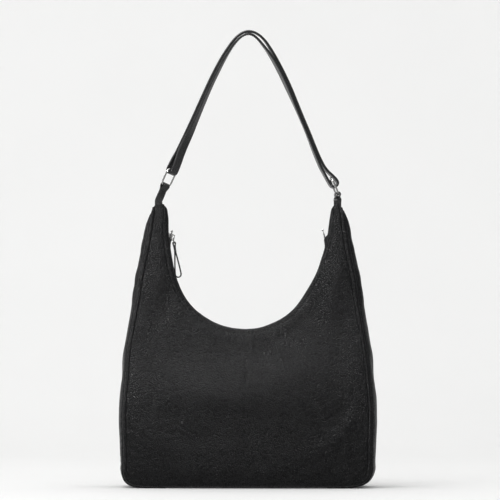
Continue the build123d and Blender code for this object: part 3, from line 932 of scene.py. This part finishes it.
def build_panel(name, node_name, facing_y, seed):
    """Leather panel with its lip stitches; returns its grid and normals."""
    grid, from_lip, from_seam = panel_grid(PANEL_HALF_ROWS, PANEL_COLUMNS, facing_y)
    if CLOTH_FIELD is not None:
        move = smooth_grid(CLOTH_FIELD(grid), 8)
        free = ease(np.minimum(from_lip * 0.5, from_seam * 0.17) / 12.0)[..., None]
        grid = grid + move * 0.45 * free * ease((grid[..., 2:3] - 8) / 100)
    relief = panel_relief(grid, from_lip, from_seam, seed)
    if facing_y == FRONT:
        relief += dart_relief(grid[..., 0], grid[..., 2])
    grid = grid + outward_normals(grid, 1, facing_y) * relief[..., None]
    normal = outward_normals(grid, 1, facing_y)
    column = np.argmin(np.abs(from_lip - LIP_STITCH_AT), axis=1)
    rows = np.arange(len(grid))
    stitches = stitches_along(grid[rows, column], normal[rows, column],
                              pitch=3.3, length=2.5, radius=0.30)
    turned = turn_edges(grid, normal, radius=1.25, angle=118, tail=3.5)
    turned[..., 2] = np.maximum(turned[..., 2], BASE_Z)
    ob = sheet(name, turned, BODY_LEATHER, SKIN, flip=facing_y == BACK)
    register(ob, "bag", "pebbled_leather", node_name)
    sewn = sew(name + "_lip_stitches", stitches, radius=0.30, sides=8)
    register(sewn, "bag", "strap_leather")
    return grid, normal


FRONT_GRID, FRONT_NORMAL = build_panel("front_panel_leather", "front_panel", FRONT, 3.1)
BACK_GRID, BACK_NORMAL = build_panel("back_panel_leather", "back_panel", BACK, 41.7)


# ------------------------------------------------------------------ gussets and base
def gusset_relief(grid, seed):
    _, y, z = np.moveaxis(grid, -1, 0)
    half = strip_half(z)
    from_edge = half - np.abs(y)
    wander = fbm(grid, 40, seed, 2)
    above_base = clamp((z - 10) / 15)
    relief = 0.6 * wander * clamp(from_edge / 12) * clamp((z - 8) / 20)
    # cross wrinkles that run in from the seams, strongest low down
    relief += (0.18 * (bell(z - 55, 60.0) + 0.35) * ripple(z, 11.0, 6 * wander)
               * bell(from_edge - 4, 7.0) * above_base)
    relief += 0.12 * ripple(z, 6.5, 9 * wander) * bell(from_edge, 3.5) * above_base
    # the edges sink into the seams
    relief -= 0.9 * bell(from_edge, 2.4) * above_base * clamp(half / 12)
    # a soft fold down the middle of the strip
    relief -= (1.3 * bell(y, 9.0) * clamp((z - 90) / 70) * clamp((350 - z) / 60)
               * clamp(half / 20))
    return relief


def build_gusset(name, node_name, side, seed):
    grid = gusset_grid(side)
    if CLOTH_FIELD is not None:
        move = smooth_grid(CLOTH_FIELD(grid), 3)
        across = np.abs(np.linspace(-1, 1, GUSSET_COLUMNS))[None, :, None]
        fade = clamp((1 - across) * 5) * clamp((grid[..., 2:3] - 6) / 14)
        grid = grid + smooth_grid(np.clip(move, -0.8, 0.3), 10) * fade
    normal = outward_normals(grid, 0, side, GUSSET_MIDDLE)
    grid = grid + normal * gusset_relief(grid, seed)[..., None]
    turned = turn_edges(grid, outward_normals(grid, 0, side, GUSSET_MIDDLE))
    turned[..., 2] = np.maximum(turned[..., 2], 0.3)
    # the turned edges meet at the middle near the horn, never past it
    middle = turned.shape[1] // 2
    turned[:, :middle, 1] = np.minimum(turned[:, :middle, 1], -0.05)
    turned[:, middle:, 1] = np.maximum(turned[:, middle:, 1], 0.05)
    ob = sheet(name, turned, BODY_LEATHER, SKIN, flip=side == RIGHT)
    # the turned edge under the corner lies flat on the table
    for vertex in ob.data.vertices:
        vertex.co.z = max(vertex.co.z, 0.00005)
    register(ob, "bag", "pebbled_leather", node_name)
    return grid


def build_base():
    half_length, rows, columns = 149.2, 120, 44
    x, y = np.meshgrid(np.linspace(-half_length, half_length, rows),
                       strip_half(4.0) * np.linspace(-1, 1, columns), indexing="ij")
    grid = np.stack([x, y, np.full_like(x, BASE_Z)], -1)
    grid[..., 2] += np.clip(0.12 * fbm(grid, 30, 2.0, 2), -0.1, 0.3)
    down = np.zeros_like(grid)
    down[..., 2] = -1
    ob = sheet("base_panel_leather", turn_edges(grid, down), BODY_LEATHER, SKIN, flip=True)
    register(ob, "bag", "pebbled_leather", "base_panel")


RIGHT_GUSSET = build_gusset("right_gusset_leather", "right_gusset", RIGHT, 7.7)
LEFT_GUSSET = build_gusset("left_gusset_leather", "left_gusset", LEFT, 17.3)
build_base()

# ------------------------------------------------------------------ facings from lip to zip
ZIP_Z, ZIP_RADIUS = 326.4, 110.4      # the zip's arc, seen from the front, centred on x = 0
FACING_COLUMNS = 26
FACING_STITCH_COLUMN = 3


def build_facing(name, node_name, facing_y, panel):
    lip = panel[:, 0]
    x, y, z = lip.T
    tangent = unit(np.gradient(lip[:, [0, 2]], axis=0))
    outward = np.stack([tangent[:, 1], -tangent[:, 0]], 1)      # away from the mouth
    if outward[len(lip) // 2, 1] > 0:
        outward = -outward
    flat_lip = lip[:, [0, 2]]
    lip_end = flat_lip + outward * 1.7
    # the zip end follows the zip's arc, but in the horns it follows the lip
    angle = np.arctan2(z - ZIP_Z, x)
    radius = ZIP_RADIUS - 1.1
    on_arc = np.stack([radius * np.cos(angle), ZIP_Z + radius * np.sin(angle)], 1)
    in_horn = flat_lip + outward * np.where(x > 0, 0.9, 3.4)[:, None]
    blend = ease((z - 346) / 12)[:, None]
    zip_end = on_arc * (1 - blend) + in_horn * blend
    lip_y = np.abs(y) - 2.0
    # half the gap between the facings: wide at the mouth, then narrower in two steps
    wide, narrow, closed = 8.0, 5.4, 0.9
    zip_y = (wide + (narrow - wide) * clamp((z - 344) / 8)
             + (closed - narrow) * clamp((z - 362) / 6))
    zip_y = np.minimum(zip_y, lip_y - 0.3)
    share = np.linspace(0, 1, FACING_COLUMNS)
    flat = zip_end[:, None] + (lip_end - zip_end)[:, None] * (share ** 3)[None, :, None]
    depth = zip_y[:, None] + (lip_y - zip_y)[:, None] * share
    grid = np.stack([flat[..., 0], depth, flat[..., 1]], -1)
    wobble = fbm(grid, 22, 61.0 + facing_y, 2)
    grid[..., 2] += 0.35 * wobble * np.sin(np.pi * share) * clamp((345 - grid[..., 2]) / 30)
    grid[..., 1] *= facing_y
    ob = sheet(name, grid, BODY_LEATHER, 1.1, flip=facing_y == FRONT, offset=0.0)
    register(ob, "bag", "pebbled_leather", node_name)

    # the row of stitches that holds the tape, on the side towards the middle of the mouth
    path, normal = grid[:, FACING_STITCH_COLUMN], normals(grid)[:, FACING_STITCH_COLUMN]
    inward = arr((0.0, 0.0, ZIP_Z)) - path
    inward[:, 1] = 0
    normal = normal * np.where((normal * inward).sum(1) < 0, -1.0, 1.0)[:, None]
    sewn = path[:, 2] < 340
    stitches = stitches_along(path[sewn], normal[sewn], pitch=3.3, length=2.5, radius=0.26,
                              lift=0.55)
    register(sew(name + "_stitches", stitches, radius=0.26), "bag", "strap_leather")


build_facing("zip_facing_front_leather", "zip_facing_front", FRONT, FRONT_GRID)
build_facing("zip_facing_back_leather", "zip_facing_back", BACK, BACK_GRID)

# ------------------------------------------------------------------ lining
LINING_OFFSET = 3.1      # from the outer skin to the lining
LINING_THICKNESS = 0.6
LINING_COLUMNS = 64


def build_lining_panel(name, node_name, facing_y, panel, normal, seed):
    keep = panel[:, 0, 2] < 331
    panel, normal = panel[keep], normal[keep]
    last = panel.shape[1] - 1
    grid = np.zeros((len(panel), LINING_COLUMNS, 3))
    for i, row in enumerate(panel):
        radius = np.hypot(row[:, 0], row[:, 2] - ZIP_Z)
        # start outside the zip's arc and stop above the base
        start, end = 0, last
        while start < last - 1 and radius[start] < ZIP_RADIUS + 4.5:
            start += 1
        while end > start + 2 and row[end, 2] < 6.0:
            end -= 1
        grid[i] = interp_rows(np.linspace(start, end - 2.5, LINING_COLUMNS),
                              np.arange(last + 1), row - normal[i] * LINING_OFFSET)
    slack = 0.9 + 0.9 * fbm(grid, 38, seed, 3)
    grid[..., 1] -= facing_y * slack * np.sin(np.pi * np.linspace(0, 1, LINING_COLUMNS))
    ob = sheet(name, grid, LINING_CLOTH, LINING_THICKNESS, flip=facing_y == BACK)
    register(ob, "bag", "lining", node_name)
    return ob


def build_lining_gusset():
    """Both side linings in one mesh, each a closed double skin."""
    verts, faces, base = [], [], 0
    for side, gusset in ((RIGHT, RIGHT_GUSSET), (LEFT, LEFT_GUSSET)):
        grid = gusset[gusset[:, GUSSET_MIDDLE, 2] < 330]
        normal = outward_normals(grid, 0, side, GUSSET_MIDDLE)
        grid = (grid - normal * (LINING_OFFSET + 0.4))[:, 5:-5]
        grid[..., 2] = np.maximum(grid[..., 2], 4.4)
        grid[..., 0] -= side * (0.5 + 0.5 * fbm(grid, 30, 31.0 * side, 2))
        rows, columns = grid.shape[:2]
        inner = grid.copy()
        inner[..., 0] -= side * LINING_THICKNESS
        verts += [grid.reshape(-1, 3), inner.reshape(-1, 3)]
        to_inner = rows * columns
        faces += grid_faces(rows, columns, base=base, flip=side == LEFT)
        faces += grid_faces(rows, columns, base=base + to_inner, flip=side == RIGHT)
        for i in range(rows - 1):
            first = base + i * columns
            below = first + columns
            faces.append((first, below, below + to_inner, first + to_inner))
            last, below = below - 1, below + columns - 1
            faces.append((last, last + to_inner, below + to_inner, below))
        for j in range(columns - 1):
            first, last = base + j, base + (rows - 1) * columns + j
            faces.append((first, first + to_inner, first + to_inner + 1, first + 1))
            faces.append((last, last + 1, last + to_inner + 1, last + to_inner))
        base += 2 * to_inner
    ob = make_object("lining_gusset_cloth", np.vstack(verts), faces, LINING_CLOTH)
    fix_normals(ob)
    register(ob, "bag", "lining", "lining_gusset")


def build_slip_pocket(back_lining):
    """Flat pocket that lies just in front of the back lining, its top a little open."""
    half, bottom, top = 74.5, 60.5, 169.5
    columns, rows = 60, 46
    gap, opening = 0.95, 1.3
    depsgraph = bpy.context.evaluated_depsgraph_get()
    tree = BVHTree.FromObject(back_lining, depsgraph)
    grid = np.zeros((columns, rows, 3))
    for i, x in enumerate(np.linspace(-half, half, columns)):
        for j, z in enumerate(np.linspace(bottom, top, rows)):
            hit = tree.ray_cast(Vector((x * MM, 0.0, z * MM)), Vector((0, 1, 0)))[0]
            y = hit.y / MM if hit is not None else float(half_depth(z)) - 7
            across, up = (x + half) / (2 * half), (z - bottom) / (top - bottom)
            open_top = opening * math.sin(math.pi * across) * up ** 3
            grid[i, j] = (x, y - gap - open_top, z)
    ob = sheet("slip_pocket_cloth", grid, LINING_CLOTH, LINING_THICKNESS, flip=True, offset=0.0)
    register(ob, "bag", "lining", "slip_pocket")


build_lining_panel("lining_front_cloth", "lining_front", FRONT, FRONT_GRID, FRONT_NORMAL, 12.0)
BACK_LINING = build_lining_panel("lining_back_cloth", "lining_back", BACK, BACK_GRID,
                                 BACK_NORMAL, 22.0)
build_lining_gusset()
build_slip_pocket(BACK_LINING)

# ------------------------------------------------------------------ strap
STRAP_WIDTH, STRAP_THICKNESS = 13.5, 3.3
STRAP_STITCH_INSET = 2.1
CLOSE = 1.76             # from the strap's middle line to each layer where the two lie together
# (x, z, distance of each layer from the middle line, twist in degrees), left ring to right
STRAP_STATIONS = [
    (-105.5, 443.1, 4.6, 40), (-102.6, 449.7, 4.5, 40), (-99.0, 458.0, 3.6, 43),
    (-95.6, 466.0, 2.4, 45), (-91.8, 475.5, CLOSE, 44), (-84.0, 494.0, CLOSE, 35),
    (-75.6, 513.8, CLOSE, 24), (-66.6, 534.8, CLOSE, 18), (-57.4, 555.8, CLOSE, 14),
    (-51.6, 568.5, CLOSE, 13), (-45.5, 581.0, CLOSE, 12), (-36.7, 597.8, CLOSE, 8),
    (-28.4, 611.8, CLOSE, 3), (-21.0, 622.3, CLOSE, 1), (-14.0, 629.9, CLOSE, 0),
    (-7.0, 634.6, CLOSE, 0), (0.0, 636.2, CLOSE, 0), (7.0, 634.6, CLOSE + 0.3, 0),
    (14.0, 629.9, CLOSE + 0.9, 1), (21.0, 622.3, CLOSE + 1.2, 4), (28.4, 611.8, CLOSE + 0.8, 9),
    (36.7, 597.8, CLOSE + 0.2, 16), (45.5, 581.0, CLOSE, 19), (57.4, 555.8, CLOSE, 17),
    (66.6, 534.8, CLOSE, 10), (75.6, 513.8, CLOSE, 6), (84.5, 492.8, CLOSE, 7),
    (93.4, 471.8, CLOSE, 11), (99.2, 459.0, CLOSE + 0.1, 12), (104.2, 448.6, CLOSE + 0.5, 12),
    (109.6, 440.0, 3.0, 12), (115.6, 432.2, 4.6, 12), (120.6, 425.2, 5.4, 12)]


def strap_frames():
    """(middle, direction, out, across, distance of each layer) at every station."""
    # the strap stands a little to the right above its ends
    stations = [(x + 1.5 * float(ease((z - 452) / 50)), z, gap, twist)
                for x, z, gap, twist in STRAP_STATIONS]
    frames = []
    for i, (x, z, gap, degrees) in enumerate(stations):
        before, after = stations[max(0, i - 1)], stations[min(len(stations) - 1, i + 1)]
        along = unit(arr((after[0] - before[0], 0, after[1] - before[1])))
        normal = arr((-along[2], 0, along[0]))
        twist = math.radians(degrees)
        out = normal * math.cos(twist) + arr((0, math.sin(twist), 0))
        across = arr((0, math.cos(twist), 0)) - normal * math.sin(twist)
        frames.append((arr((x, 0, z)), along, out, across, gap))
    return frames


def end_turn(strap_frame, direction):
    """Sections round a ring bar: a half turn from the far side up to the outer layer."""
    middle, along, out, across, gap = strap_frame
    sections = []
    for degrees in range(-90, 71, 20):
        angle = math.radians(degrees)
        normal = out * math.sin(angle) + along * (direction * math.cos(angle))
        sections.append((middle + normal * gap, normal, across))
    return sections


def layer_path(outer):
    """(path, across, out) of one layer; the outer one turns round both ring bars."""
    frames = strap_frames()
    sign = 1 if outer else -1
    sections = [(middle + out * gap * sign, out * sign, across)
                for middle, _, out, across, gap in frames]
    if outer:
        sections = end_turn(frames[0], -1) + sections + end_turn(frames[-1], 1)[::-1]
    rows = arr([np.concatenate(section) for section in sections])
    length = run_length(rows[:, :3])[-1]
    rows = smooth_curve(rows, int(length / 1.5))
    path = rows[:, :3]
    return (path, *square_frames(path, across=rows[:, 6:9], out=rows[:, 3:6]))


def build_strap_layer(name, node_name, outer, seed):
    path, across, out = layer_path(outer)
    ring = section_ring(STRAP_WIDTH, STRAP_THICKNESS, radius=1.15, corner_steps=4)
    rings = section_along(path, across, out, ring)
    # stitch grooves on the outward face, and slightly wavy edges
    stitch_at = STRAP_WIDTH / 2 - STRAP_STITCH_INSET
    outward_face = ring[:, 1] > STRAP_THICKNESS / 2 - 0.05
    groove = bell(np.abs(ring[:, 0]) - stitch_at, 0.6) * outward_face
    edge_side = np.sign(ring[:, 0]) * (np.abs(ring[:, 0]) > 3)
    wave = 0.10 * fbm(path, 9, seed, 2)
    rings -= out[:, None] * (0.22 * groove)[None, :, None]
    rings += across[:, None] * edge_side[None, :, None] * wave[:, None, None]
    ob = swept_mesh(name, rings, STRAP_LEATHER, EDGE_PAINT)
    paint_edges(ob, ring, beyond=STRAP_WIDTH / 2 - 0.75, caps=True)
    register(ob, "strap", "strap_leather", node_name)
    stitches = []
    for side in (-1, 1):
        line = path + across * side * stitch_at + out * (STRAP_THICKNESS / 2 - 0.16)
        stitches += stitches_along(line, out, pitch=3.2, length=2.4, radius=0.26)
    register(sew(name + "_stitches", stitches, radius=0.26), "strap", "strap_leather")


build_strap_layer("strap_outer_leather", "strap_outer", outer=True, seed=2.0)
build_strap_layer("strap_inner_leather", "strap_inner", outer=False, seed=9.0)

# ------------------------------------------------------------------ tabs round the lower bars
FOLD_Z = 401.0           # below this the tab hangs straight down into the horn
TAB_BOTTOM = 378.0
TAB_WIDTH, TAB_LOW_WIDTH, TAB_THICKNESS = 12.2, 10.5, 1.45
BAR_DROP = 12.6          # from the ring's centre to its lower bar
BAR_WRAP = 3.35          # radius of the tab's middle layer round the bar
TAB_LAYER_GAP = 0.80     # from the tab's middle plane to each leaf
TAB_STITCH_STATION = 20  # counted along the path from either end


def build_tab(side_name, ring_x, ring_z, tilt, yaw, root_x):
    """Folded strip: up from the horn, round the ring's lower bar and down again."""
    tilt, yaw = math.radians(tilt), math.radians(yaw)
    up = arr((math.sin(tilt), 0, math.cos(tilt)))
    sideways = arr((math.cos(tilt), 0, -math.sin(tilt)))
    bar = sideways * math.cos(yaw) + arr((0, math.sin(yaw), 0))
    bar_middle = arr((ring_x, 0, ring_z)) - up * BAR_DROP
    fold = arr((root_x, 0, FOLD_Z))
    down = unit(fold - bar_middle)
    length = float(np.linalg.norm(fold - bar_middle))
    root_across = arr((1.0, 0, 0)) * (1 if bar[0] >= 0 else -1)
    straight_down = arr((0, 0, -1.0))

    # each of these reads the tab at a distance below the bar
    def middle_at(distance):
        if distance <= length:
            return bar_middle + down * distance
        return fold + straight_down * (distance - length)

    def across_at(distance):
        turn = ease((distance - 2.5) / max(length - 2.5, 1))
        return unit(bar * (1 - turn) + root_across * turn)

    def out_at(distance):
        bend = ease((distance - (length - 3)) / 6)
        along = unit(down * (1 - bend) + straight_down * bend)
        return unit(np.cross(along, across_at(distance)))

    def leaf(distances, sign):
        sections = []
        for distance in distances:
            closing = ease(distance / min(8.0, length))
            gap = BAR_WRAP + (TAB_LAYER_GAP - BAR_WRAP) * closing
            out = out_at(distance) * sign
            sections.append((middle_at(distance) + out * gap, across_at(distance), out))
        return sections

    distances = np.r_[np.linspace(length + (FOLD_Z - TAB_BOTTOM), length, 12)[:-1],
                      np.linspace(length, 0, 22)]
    wrap = []
    for angle in np.linspace(0, math.pi, 15)[1:-1]:
        out = out_at(0) * math.cos(angle) - down * math.sin(angle)
        wrap.append((bar_middle + out * BAR_WRAP, across_at(0), out))
    sections = leaf(distances, 1) + wrap + leaf(distances[::-1], -1)
    path, across, out = [arr(part) for part in zip(*sections)]
    across, out = square_frames(path, across, out)

    # narrower where it goes into the horn
    low = ease((bar_middle[2] - 3 - path[:, 2]) / 9.0)
    squeeze = 1 - (1 - TAB_LOW_WIDTH / TAB_WIDTH) * low
    ring = section_ring(TAB_WIDTH, TAB_THICKNESS, radius=0.55, corner_steps=3)
    rings = section_along(path, across, out, ring, squeeze[:, None, None])
    ob = swept_mesh(side_name + "_tab_leather", rings, STRAP_LEATHER, EDGE_PAINT)
    paint_edges(ob, ring, beyond=TAB_WIDTH / 2 - 0.45)
    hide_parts(side_name + "_tab", side_name + "_tab_root")

    # stitches across both leaves under the ring
    stitches = []
    for i in (TAB_STITCH_STATION, len(path) - 1 - TAB_STITCH_STATION):
        for offset in np.linspace(-3.1, 3.1, 3):
            middle = path[i] + out[i] * (TAB_THICKNESS / 2 - 0.1) + across[i] * offset
            half = across[i] * 0.8
            stitches.append((middle - half, middle + half, out[i]))
    sewn = sew(side_name + "_tab_stitches", stitches, radius=0.24)
    for part in (ob, sewn):
        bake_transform(part)


build_tab("left", ring_x=-110.2, ring_z=433.3, tilt=25.0, yaw=50.0, root_x=-124.6)
build_tab("right", ring_x=121.1, ring_z=421.0, tilt=-22.9, yaw=102.0, root_x=126.0)

# ------------------------------------------------------------------ leather pull on the slider
PULL_ORIGIN = arr((-102.813, 0, 341.241))
PULL_ANGLE = math.radians(277.5)      # direction it hangs in, from +X towards +Z
PULL_ALONG = arr((math.cos(PULL_ANGLE), 0, math.sin(PULL_ANGLE)))
PULL_ACROSS = arr((0, 1.0, 0))
PULL_OUT = arr((-math.sin(PULL_ANGLE), 0, math.cos(PULL_ANGLE)))
PULL_WIDTH = 4.4
BAIL_RADIUS = 1.75
# (along, out): one side of the loop between the bail and the round end
PULL_SIDE = [(2.6, 1.18), (4.6, 0.86), (7.0, 0.72), (10.0, 0.70), (13.2, 0.72), (16.0, 0.98),
             (19.5, 1.52), (24.0, 2.10), (29.0, 2.72), (34.0, 3.28), (38.5, 3.72), (42.0, 3.98)]
# (along, share of the section): the keeper round the neck
KEEPER_STATIONS = [(9.6, 0.90), (9.8, 1.0), (11.2, 1.03), (12.6, 1.0), (12.8, 0.90)]


def build_zip_pull():
    """Closed loop of leather that hangs from the bail."""
    bail = [(BAIL_RADIUS * math.cos(angle), BAIL_RADIUS * math.sin(angle))
            for angle in np.radians(np.linspace(180, 90, 7))]
    end = [(44.0 + 3.9 * math.cos(angle), 3.95 * math.sin(angle))
           for angle in np.radians(np.linspace(80, 0, 9))]
    side = smooth_curve(bail + PULL_SIDE + end, 110)
    loop = np.vstack([side, (side * arr((1, -1)))[::-1][1:-1]])
    tangent = unit(np.roll(loop, -1, 0) - np.roll(loop, 1, 0))
    path = PULL_ORIGIN + loop[:, 0:1] * PULL_ALONG + loop[:, 1:2] * PULL_OUT
    out = -tangent[:, 1:2] * PULL_ALONG + tangent[:, 0:1] * PULL_OUT
    across = np.repeat(PULL_ACROSS[None], len(loop), 0)
    ring = section_ring(PULL_WIDTH, 1.9, radius=0.5, corner_steps=3)
    ob = swept_mesh("zip_pull_leather", section_along(path, across, out, ring),
                    STRAP_LEATHER, EDGE_PAINT, closed=True)
    paint_edges(ob, ring, beyond=PULL_WIDTH / 2 - 0.35)
    register(ob, "pull", "strap_leather", "zip_pull")


def build_keeper():
    ring = section_ring(5.2, 3.3, radius=0.9, corner_steps=3)
    rings = arr([PULL_ORIGIN + PULL_ALONG * along
                 + ring[:, 0:1] * share * PULL_ACROSS + ring[:, 1:2] * share * PULL_OUT
                 for along, share in KEEPER_STATIONS])
    register(swept_mesh("zip_pull_keeper", rings, EDGE_PAINT), "pull", "strap_leather")


build_zip_pull()
build_keeper()


# ------------------------------------------------------------------ stage
def stage_material():
    """Off-white paper that the camera sees through from behind."""
    material, graph, surface, output = new_material("studio_sweep")
    patches = graph.noise(graph.millimetres(), scale=0.004, detail=2)
    graph.feed(surface, {
        "Base Color": graph.mix(patches, (0.90, 0.90, 0.895), (0.925, 0.925, 0.92)),
        "Roughness": 0.85, "Specular IOR Level": 0.1})
    geometry = graph.node("ShaderNodeNewGeometry")
    ray = graph.node("ShaderNodeLightPath")
    clear = graph.node("ShaderNodeBsdfTransparent")
    behind = graph.multiply(geometry.outputs["Backfacing"], ray.outputs["Is Camera Ray"])
    mix = graph.node("ShaderNodeMixShader", {
        0: behind, 1: surface.outputs[0], 2: clear.outputs[0]})
    graph.feed(output, {0: mix.outputs[0]})
    return material


def build_stage():
    """Floor that curves up into a wall behind the bag."""
    bend, wall_top, half_width_mm = 1200, 5000, 6000
    side = [(-4000, 0), (-2000, 0), (0, 0), (bend, 0)]       # (y, z)
    for k in range(1, 13):
        angle = math.radians(90 * k / 12)
        side.append((bend + bend * math.sin(angle), bend * (1 - math.cos(angle))))
    side += [(2 * bend, 2 * bend), (2 * bend, wall_top)]
    xs = np.linspace(-half_width_mm, half_width_mm, 25)
    verts = [(x, y, z) for x in xs for y, z in side]
    ob = make_object("studio_sweep", verts, grid_faces(len(xs), len(side)), stage_material())
    ob.visible_glossy = False


build_stage()

# ------------------------------------------------------------------ lights
LIGHT_TARGET = Vector((0, 0, 0.25))


def softbox(name, elevation, azimuth, distance, width, power, height=None):
    """Soft light aimed at the bag; azimuth is left (-) or right (+) of the front, degrees."""
    elevation, azimuth = math.radians(elevation), math.radians(azimuth)
    light = bpy.data.lights.new(name, "AREA")
    light.shape = "RECTANGLE"
    light.size = width
    light.size_y = height or width
    light.energy = power
    ob = bpy.data.objects.new(name, light)
    bpy.context.scene.collection.objects.link(ob)
    towards = Vector((math.sin(azimuth) * math.cos(elevation),
                      -math.cos(azimuth) * math.cos(elevation), math.sin(elevation)))
    place = LIGHT_TARGET + towards * distance
    ob.location = place
    ob.rotation_euler = (LIGHT_TARGET - place).to_track_quat("-Z", "Y").to_euler()
    return ob


# the key only makes highlights; its spill only lights surfaces
key = softbox("key_softbox", elevation=43, azimuth=-27, distance=2.6, width=0.42, height=0.28,
              power=56)
key.visible_diffuse = False
spill = softbox("key_spill", elevation=50, azimuth=-30, distance=2.6, width=1.6, power=14)
spill.visible_glossy = False
softbox("top_softbox", elevation=68, azimuth=-30, distance=2.2, width=1.0, power=5)
softbox("rim_softbox", elevation=12, azimuth=-98, distance=2.2, width=0.5, height=1.4, power=5)


def build_world():
    """Even white light for surfaces; glossy rays see a dark room, brighter overhead."""
    world = bpy.data.worlds.new("studio")
    bpy.context.scene.world = world
    world.use_nodes = True
    graph = Graph(world.node_tree)
    ambient = graph.node("ShaderNodeBackground", {0: (1.0, 1.0, 1.0), 1: 0.855})
    direction = graph.node("ShaderNodeTexCoord").outputs["Generated"]
    x, y, z = graph.node("ShaderNodeSeparateXYZ", {0: direction}).outputs
    overhead = graph.remap(z, source=(0.15, 0.9), target=(0.27, 1.0), smooth=True)
    behind = graph.remap(y, source=(0.0, 0.7), target=(0.0, 0.6), smooth=True)
    below = graph.remap(z, source=(0.07, -0.06), target=(0.0, 0.20), smooth=True)
    # a dark flag stands on the right
    flag = graph.remap(x, source=(-0.30, 0.34), target=(1.08, 0.58), smooth=True)
    strength = graph.multiply(graph.add(graph.add(overhead, below), behind), flag)
    reflected = graph.node("ShaderNodeBackground", {1: strength})
    ray = graph.node("ShaderNodeLightPath")
    mix = graph.node("ShaderNodeMixShader", {
        0: ray.outputs["Is Glossy Ray"], 1: ambient.outputs[0], 2: reflected.outputs[0]})
    graph.node("ShaderNodeOutputWorld", {0: mix.outputs[0]})


build_world()


# ------------------------------------------------------------------ camera
def build_camera():
    """Long lens, nearly square to the front; sizes in metres."""
    distance, yaw = 8.0, math.radians(1.8)
    sensor_mm, view_width = 36, 0.7
    target = Vector((0.0035, 0.0, 0.3318))
    data = bpy.data.cameras.new("cam")
    camera = bpy.data.objects.new("cam", data)
    scene = bpy.context.scene
    scene.collection.objects.link(camera)
    offset = Vector((math.sin(yaw) * distance, -math.cos(yaw) * distance, 0.0))
    camera.location = target + offset
    camera.rotation_euler = (target - camera.location).to_track_quat("-Z", "Y").to_euler()
    data.sensor_width = sensor_mm
    data.lens = sensor_mm * distance / view_width
    data.clip_end = 50
    scene.camera = camera
    scene.view_settings.view_transform = "Standard"
    scene.view_settings.look = "None"


build_camera()

# ------------------------------------------------------------------ finish of visible CAD nodes
FINISHES = [
    (TEETH_METAL, ("zip_teeth_front", "zip_teeth_back", "zip_stops")),
    (SILVER, ("zip_slider", "zip_puller", "left_ring", "right_ring")),
    (BOARD_FIBRE, ("base_board",)),
    (TAPE_WEAVE, ("zip_tape_front", "zip_tape_back")),
    (LINING_CLOTH, ("lining_front", "lining_back", "lining_gusset", "slip_pocket")),
    (BODY_LEATHER, ("zip_facing_front", "zip_facing_back")),
    (STRAP_LEATHER, ("left_tab", "right_tab", "left_tab_root", "right_tab_root",
                     "strap_outer", "strap_inner", "zip_pull"))]
for material, node_names in FINISHES:
    for node_name in node_names:
        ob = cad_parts[node_name]
        if ob.hide_render:
            continue
        if not ob.material_slots:
            ob.data.materials.append(material)
        for slot in ob.material_slots:
            slot.material = material
